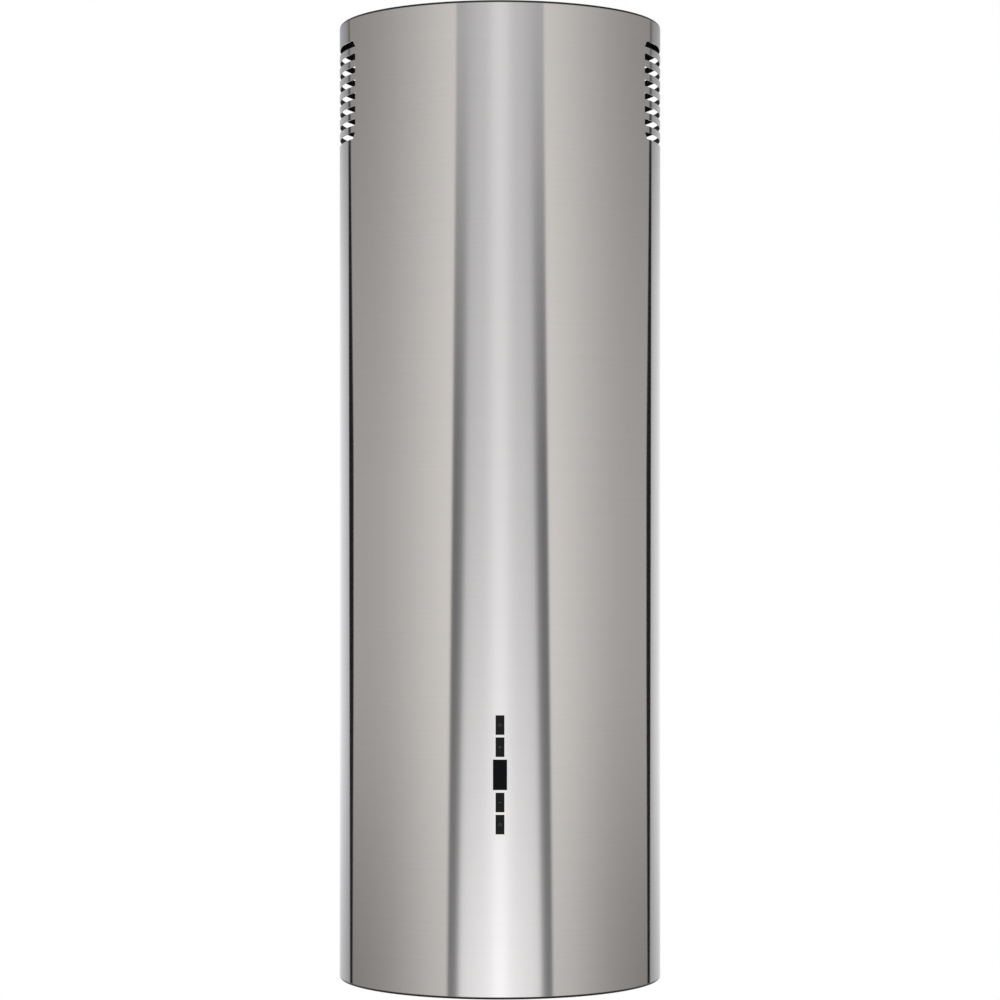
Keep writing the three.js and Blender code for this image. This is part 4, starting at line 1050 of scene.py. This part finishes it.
# ------------------------------------------------------------------ floor, light, camera
def studio():
    floor = bpy.data.meshes.new("floor")
    n, r = 96, 2.9
    ring = [(r * math.cos(2 * math.pi * i / n), r * math.sin(2 * math.pi * i / n), -1.62) for i in range(n)]
    floor.from_pydata(ring, [], [list(range(n))])
    m = bpy.data.materials.new("floor")
    m.use_nodes = True
    t = m.node_tree
    t.nodes.clear()
    new, link = t.nodes.new, t.links.new
    out = new("ShaderNodeOutputMaterial")
    dif = new("ShaderNodeBsdfDiffuse")
    dif.inputs[0].default_value = (0.78, 0.775, 0.77, 1)
    emi = new("ShaderNodeEmission")
    emi.inputs[0].default_value = (0.93, 0.93, 0.93, 1)
    emi.inputs[1].default_value = 0.36
    both = new("ShaderNodeAddShader")
    link(dif.outputs[0], both.inputs[0])
    link(emi.outputs[0], both.inputs[1])
    path = new("ShaderNodeLightPath")
    seen = new("ShaderNodeMixShader")
    link(path.outputs["Is Camera Ray"], seen.inputs[0])
    link(dif.outputs[0], seen.inputs[1])
    link(both.outputs[0], seen.inputs[2])
    co = new("ShaderNodeTexCoord")
    ln = new("ShaderNodeVectorMath")
    ln.operation = "LENGTH"
    link(co.outputs["Object"], ln.inputs[0])
    fade = new("ShaderNodeMapRange")
    fade.interpolation_type = "SMOOTHSTEP"
    fade.inputs["From Min"].default_value = 2.0
    fade.inputs["From Max"].default_value = 3.2
    link(ln.outputs["Value"], fade.inputs["Value"])
    geo = new("ShaderNodeNewGeometry")
    hide = new("ShaderNodeMath")
    hide.operation = "MAXIMUM"
    link(fade.outputs[0], hide.inputs[0])
    link(geo.outputs["Backfacing"], hide.inputs[1])
    clear = new("ShaderNodeBsdfTransparent")
    mix = new("ShaderNodeMixShader")
    link(hide.outputs[0], mix.inputs[0])
    link(seen.outputs[0], mix.inputs[1])
    link(clear.outputs[0], mix.inputs[2])
    link(mix.outputs[0], out.inputs[0])
    floor.materials.append(m)
    o = bpy.data.objects.new("floor", floor)
    scene.collection.objects.link(o)

    # The surround: a tall soft light in front between two dark edges, pale side walls, and a bright wall behind.
    w = bpy.data.worlds.new("studio")
    scene.world = w
    w.use_nodes = True
    t = w.node_tree
    t.nodes.clear()
    new, link = t.nodes.new, t.links.new

    def op(kind, a, b=None, c=None, clamp=False):
        n = new("ShaderNodeMath")
        n.operation = kind
        n.use_clamp = clamp
        for i, x in enumerate((a, b, c)):
            if x is None:
                continue
            if isinstance(x, (int, float)):
                n.inputs[i].default_value = x
            else:
                link(x, n.inputs[i])
        return n.outputs[0]

    def step(x, lo, hi):
        n = new("ShaderNodeMapRange")
        n.interpolation_type = "SMOOTHSTEP"
        n.inputs["From Min"].default_value = lo
        n.inputs["From Max"].default_value = hi
        link(x, n.inputs["Value"])
        return n.outputs[0]

    def blend(f, a, b):
        n = new("ShaderNodeMix")
        n.data_type = "RGBA"
        for i, x in ((0, f), (6, a), (7, b)):
            if isinstance(x, (int, float)):
                n.inputs[i].default_value = (x, x, x, 1) if i else x
            elif isinstance(x, tuple):
                n.inputs[i].default_value = (*x, 1)
            else:
                link(x, n.inputs[i])
        return n.outputs[2]

    def table(x, stops, scale=180.0):
        n = new("ShaderNodeValToRGB")
        el = n.color_ramp.elements
        while len(el) < len(stops):
            el.new(0.5)
        for k, (p, c) in zip(el, stops):
            k.position = p / scale
            k.color = (c, c, c, 1)
        link(op("MULTIPLY", x, 1 / scale), n.inputs[0])
        return n.outputs[0]

    way = new("ShaderNodeTexCoord").outputs["Generated"]
    sep = new("ShaderNodeSeparateXYZ")
    link(way, sep.inputs[0])
    x, y, z = sep.outputs
    az = op("MULTIPLY", op("ABSOLUTE", op("ARCTAN2", x, op("MULTIPLY", y, -1.0))), 180 / math.pi)  # 0 in front, 180 behind
    e = op("MAXIMUM", op("MINIMUM", op("MULTIPLY", z, 0.95), 0.165), -0.14)
    up = op("MAXIMUM", e, 0.0)
    low = op("MAXIMUM", op("MULTIPLY", e, -1.0), 0.0)
    # the front light leans: its dark edges spread apart towards the floor
    hold = op("MULTIPLY", step(az, 4, 18), op("SUBTRACT", 1.0, step(az, 46, 90)))
    a1 = op("ADD", az, op("MULTIPLY", op("MULTIPLY", e, 26.0), hold))
    a1 = op("SUBTRACT", a1, op("MULTIPLY", op("MULTIPLY", low, 6.0), op("MULTIPLY", hold, op("SUBTRACT", 1.0, step(a1, 27, 33)))))
    front = table(a1, [(0, 0.975), (3, 0.960), (6.5, 0.875), (9.5, 0.810), (13, 0.768), (18, 0.735), (21.5, 0.695), (23.6, 0.640),
                       (25.0, 0.495), (26.4, 0.345), (28.0, 0.240), (30.5, 0.185), (33.2, 0.175), (34.0, 0.320), (34.9, 0.775), (37, 0.785),
                       (42.5, 0.752), (50, 0.706), (58, 0.655), (66, 0.604), (75, 0.556), (84, 0.512), (94, 0.482), (106, 0.458), (118, 0.444), (130, 0.432)])
    side = table(az, [(130, 0.50), (138, 0.56), (141, 0.62), (146, 0.71), (152, 0.79), (156, 0.83), (160, 0.89), (166, 0.98), (180, 1.0)])
    g = op("ADD", 1.0, op("ADD", op("MULTIPLY", e, -1.8), op("MULTIPLY", op("MULTIPLY", e, e), 6.5)))
    far = op("MULTIPLY", op("MAXIMUM", op("SUBTRACT", az, 50.0), 0.0), 0.17 / 68)
    far = op("MINIMUM", far, 0.20)
    dim = op("ADD", op("MULTIPLY", step(low, 0.03, 0.15), op("ADD", far, 0.21)), op("MULTIPLY", step(up, 0.0, 0.20), op("ADD", far, 0.08)))
    dim = op("SUBTRACT", 1.0, dim)
    outer = step(a1, 33.8, 34.6)
    factor = op("ADD", op("MULTIPLY", outer, dim), op("MULTIPLY", g, op("SUBTRACT", 1.0, outer)))
    band = op("MULTIPLY", front, factor)
    wash = op("MULTIPLY", op("MULTIPLY", op("MAXIMUM", op("SUBTRACT", e, 0.03), 0.0), 5.2), op("MULTIPLY", step(a1, 21, 27), op("SUBTRACT", 1.0, outer)))
    band = op("ADD", op("MULTIPLY", band, op("SUBTRACT", 1.0, wash)), op("MULTIPLY", wash, 0.70))
    # a narrow dark gap, then the pale side of the room
    gap = op("ADD", 129.3, op("ADD", op("MULTIPLY", op("MAXIMUM", op("SUBTRACT", e, 0.03), 0.0), 55.0), op("MULTIPLY", op("MAXIMUM", op("SUBTRACT", low, 0.04), 0.0), 22.0)))
    end = op("ADD", 137.5, op("MULTIPLY", e, 13.0))
    past = step(op("SUBTRACT", az, end), -0.5, 0.7)
    band = op("MULTIPLY", band, op("SUBTRACT", 1.0, step(op("SUBTRACT", az, gap), -0.7, 0.5)))
    side = op("MULTIPLY", side, op("SUBTRACT", 1.0, op("MULTIPLY", op("MAXIMUM", op("SUBTRACT", e, 0.08), 0.0), 4.5)))
    side = op("MULTIPLY", side, op("ADD", 1.0, op("MULTIPLY", op("MAXIMUM", op("SUBTRACT", low, 0.03), 0.0), 1.7)))
    band = op("ADD", band, op("MULTIPLY", op("MULTIPLY", side, dim), past))
    band = op("MAXIMUM", band, op("ADD", 0.015, op("MULTIPLY", step(e, 0.125, 0.155), 0.17)))
    tinted = blend(outer, (0.975, 1.0, 1.017), (1.008, 1.0, 0.977))
    tinted = blend(past, tinted, (0.968, 0.988, 1.022))
    colour = new("ShaderNodeMix")
    colour.data_type = "RGBA"
    colour.blend_type = "MULTIPLY"
    colour.inputs[0].default_value = 1.0
    link(band, colour.inputs[6])
    link(tinted, colour.inputs[7])
    # the same light reaches well above and below eye level, then a soft panel overhead and the floor underneath
    crown = op("ADD", 0.30, op("MULTIPLY", op("SUBTRACT", 1.0, step(az, 8, 60)), 0.35))
    over = blend(step(z, 0.78, 0.92), crown, 0.85)
    sky = blend(step(z, 0.50, 0.74), colour.outputs[2], over)
    sky = blend(step(op("MULTIPLY", z, -1.0), 0.45, 0.75), sky, 0.42)
    path = new("ShaderNodeLightPath")
    final = blend(path.outputs["Is Camera Ray"], sky, 1.0)
    bg = new("ShaderNodeBackground")
    link(final, bg.inputs[0])
    bg.inputs[1].default_value = 1.0
    out = new("ShaderNodeOutputWorld")
    link(bg.outputs[0], out.inputs[0])

    cam = bpy.data.cameras.new("camera")
    cam.lens = 109.0
    cam.sensor_width = 36
    cam.shift_y = 0.0505
    cam.clip_start, cam.clip_end = 0.1, 50
    o = bpy.data.objects.new("camera", cam)
    o.location = (0, -3.5, -0.603)
    o.rotation_euler = (math.pi / 2, 0, 0)
    scene.collection.objects.link(o)
    scene.camera = o


studio()
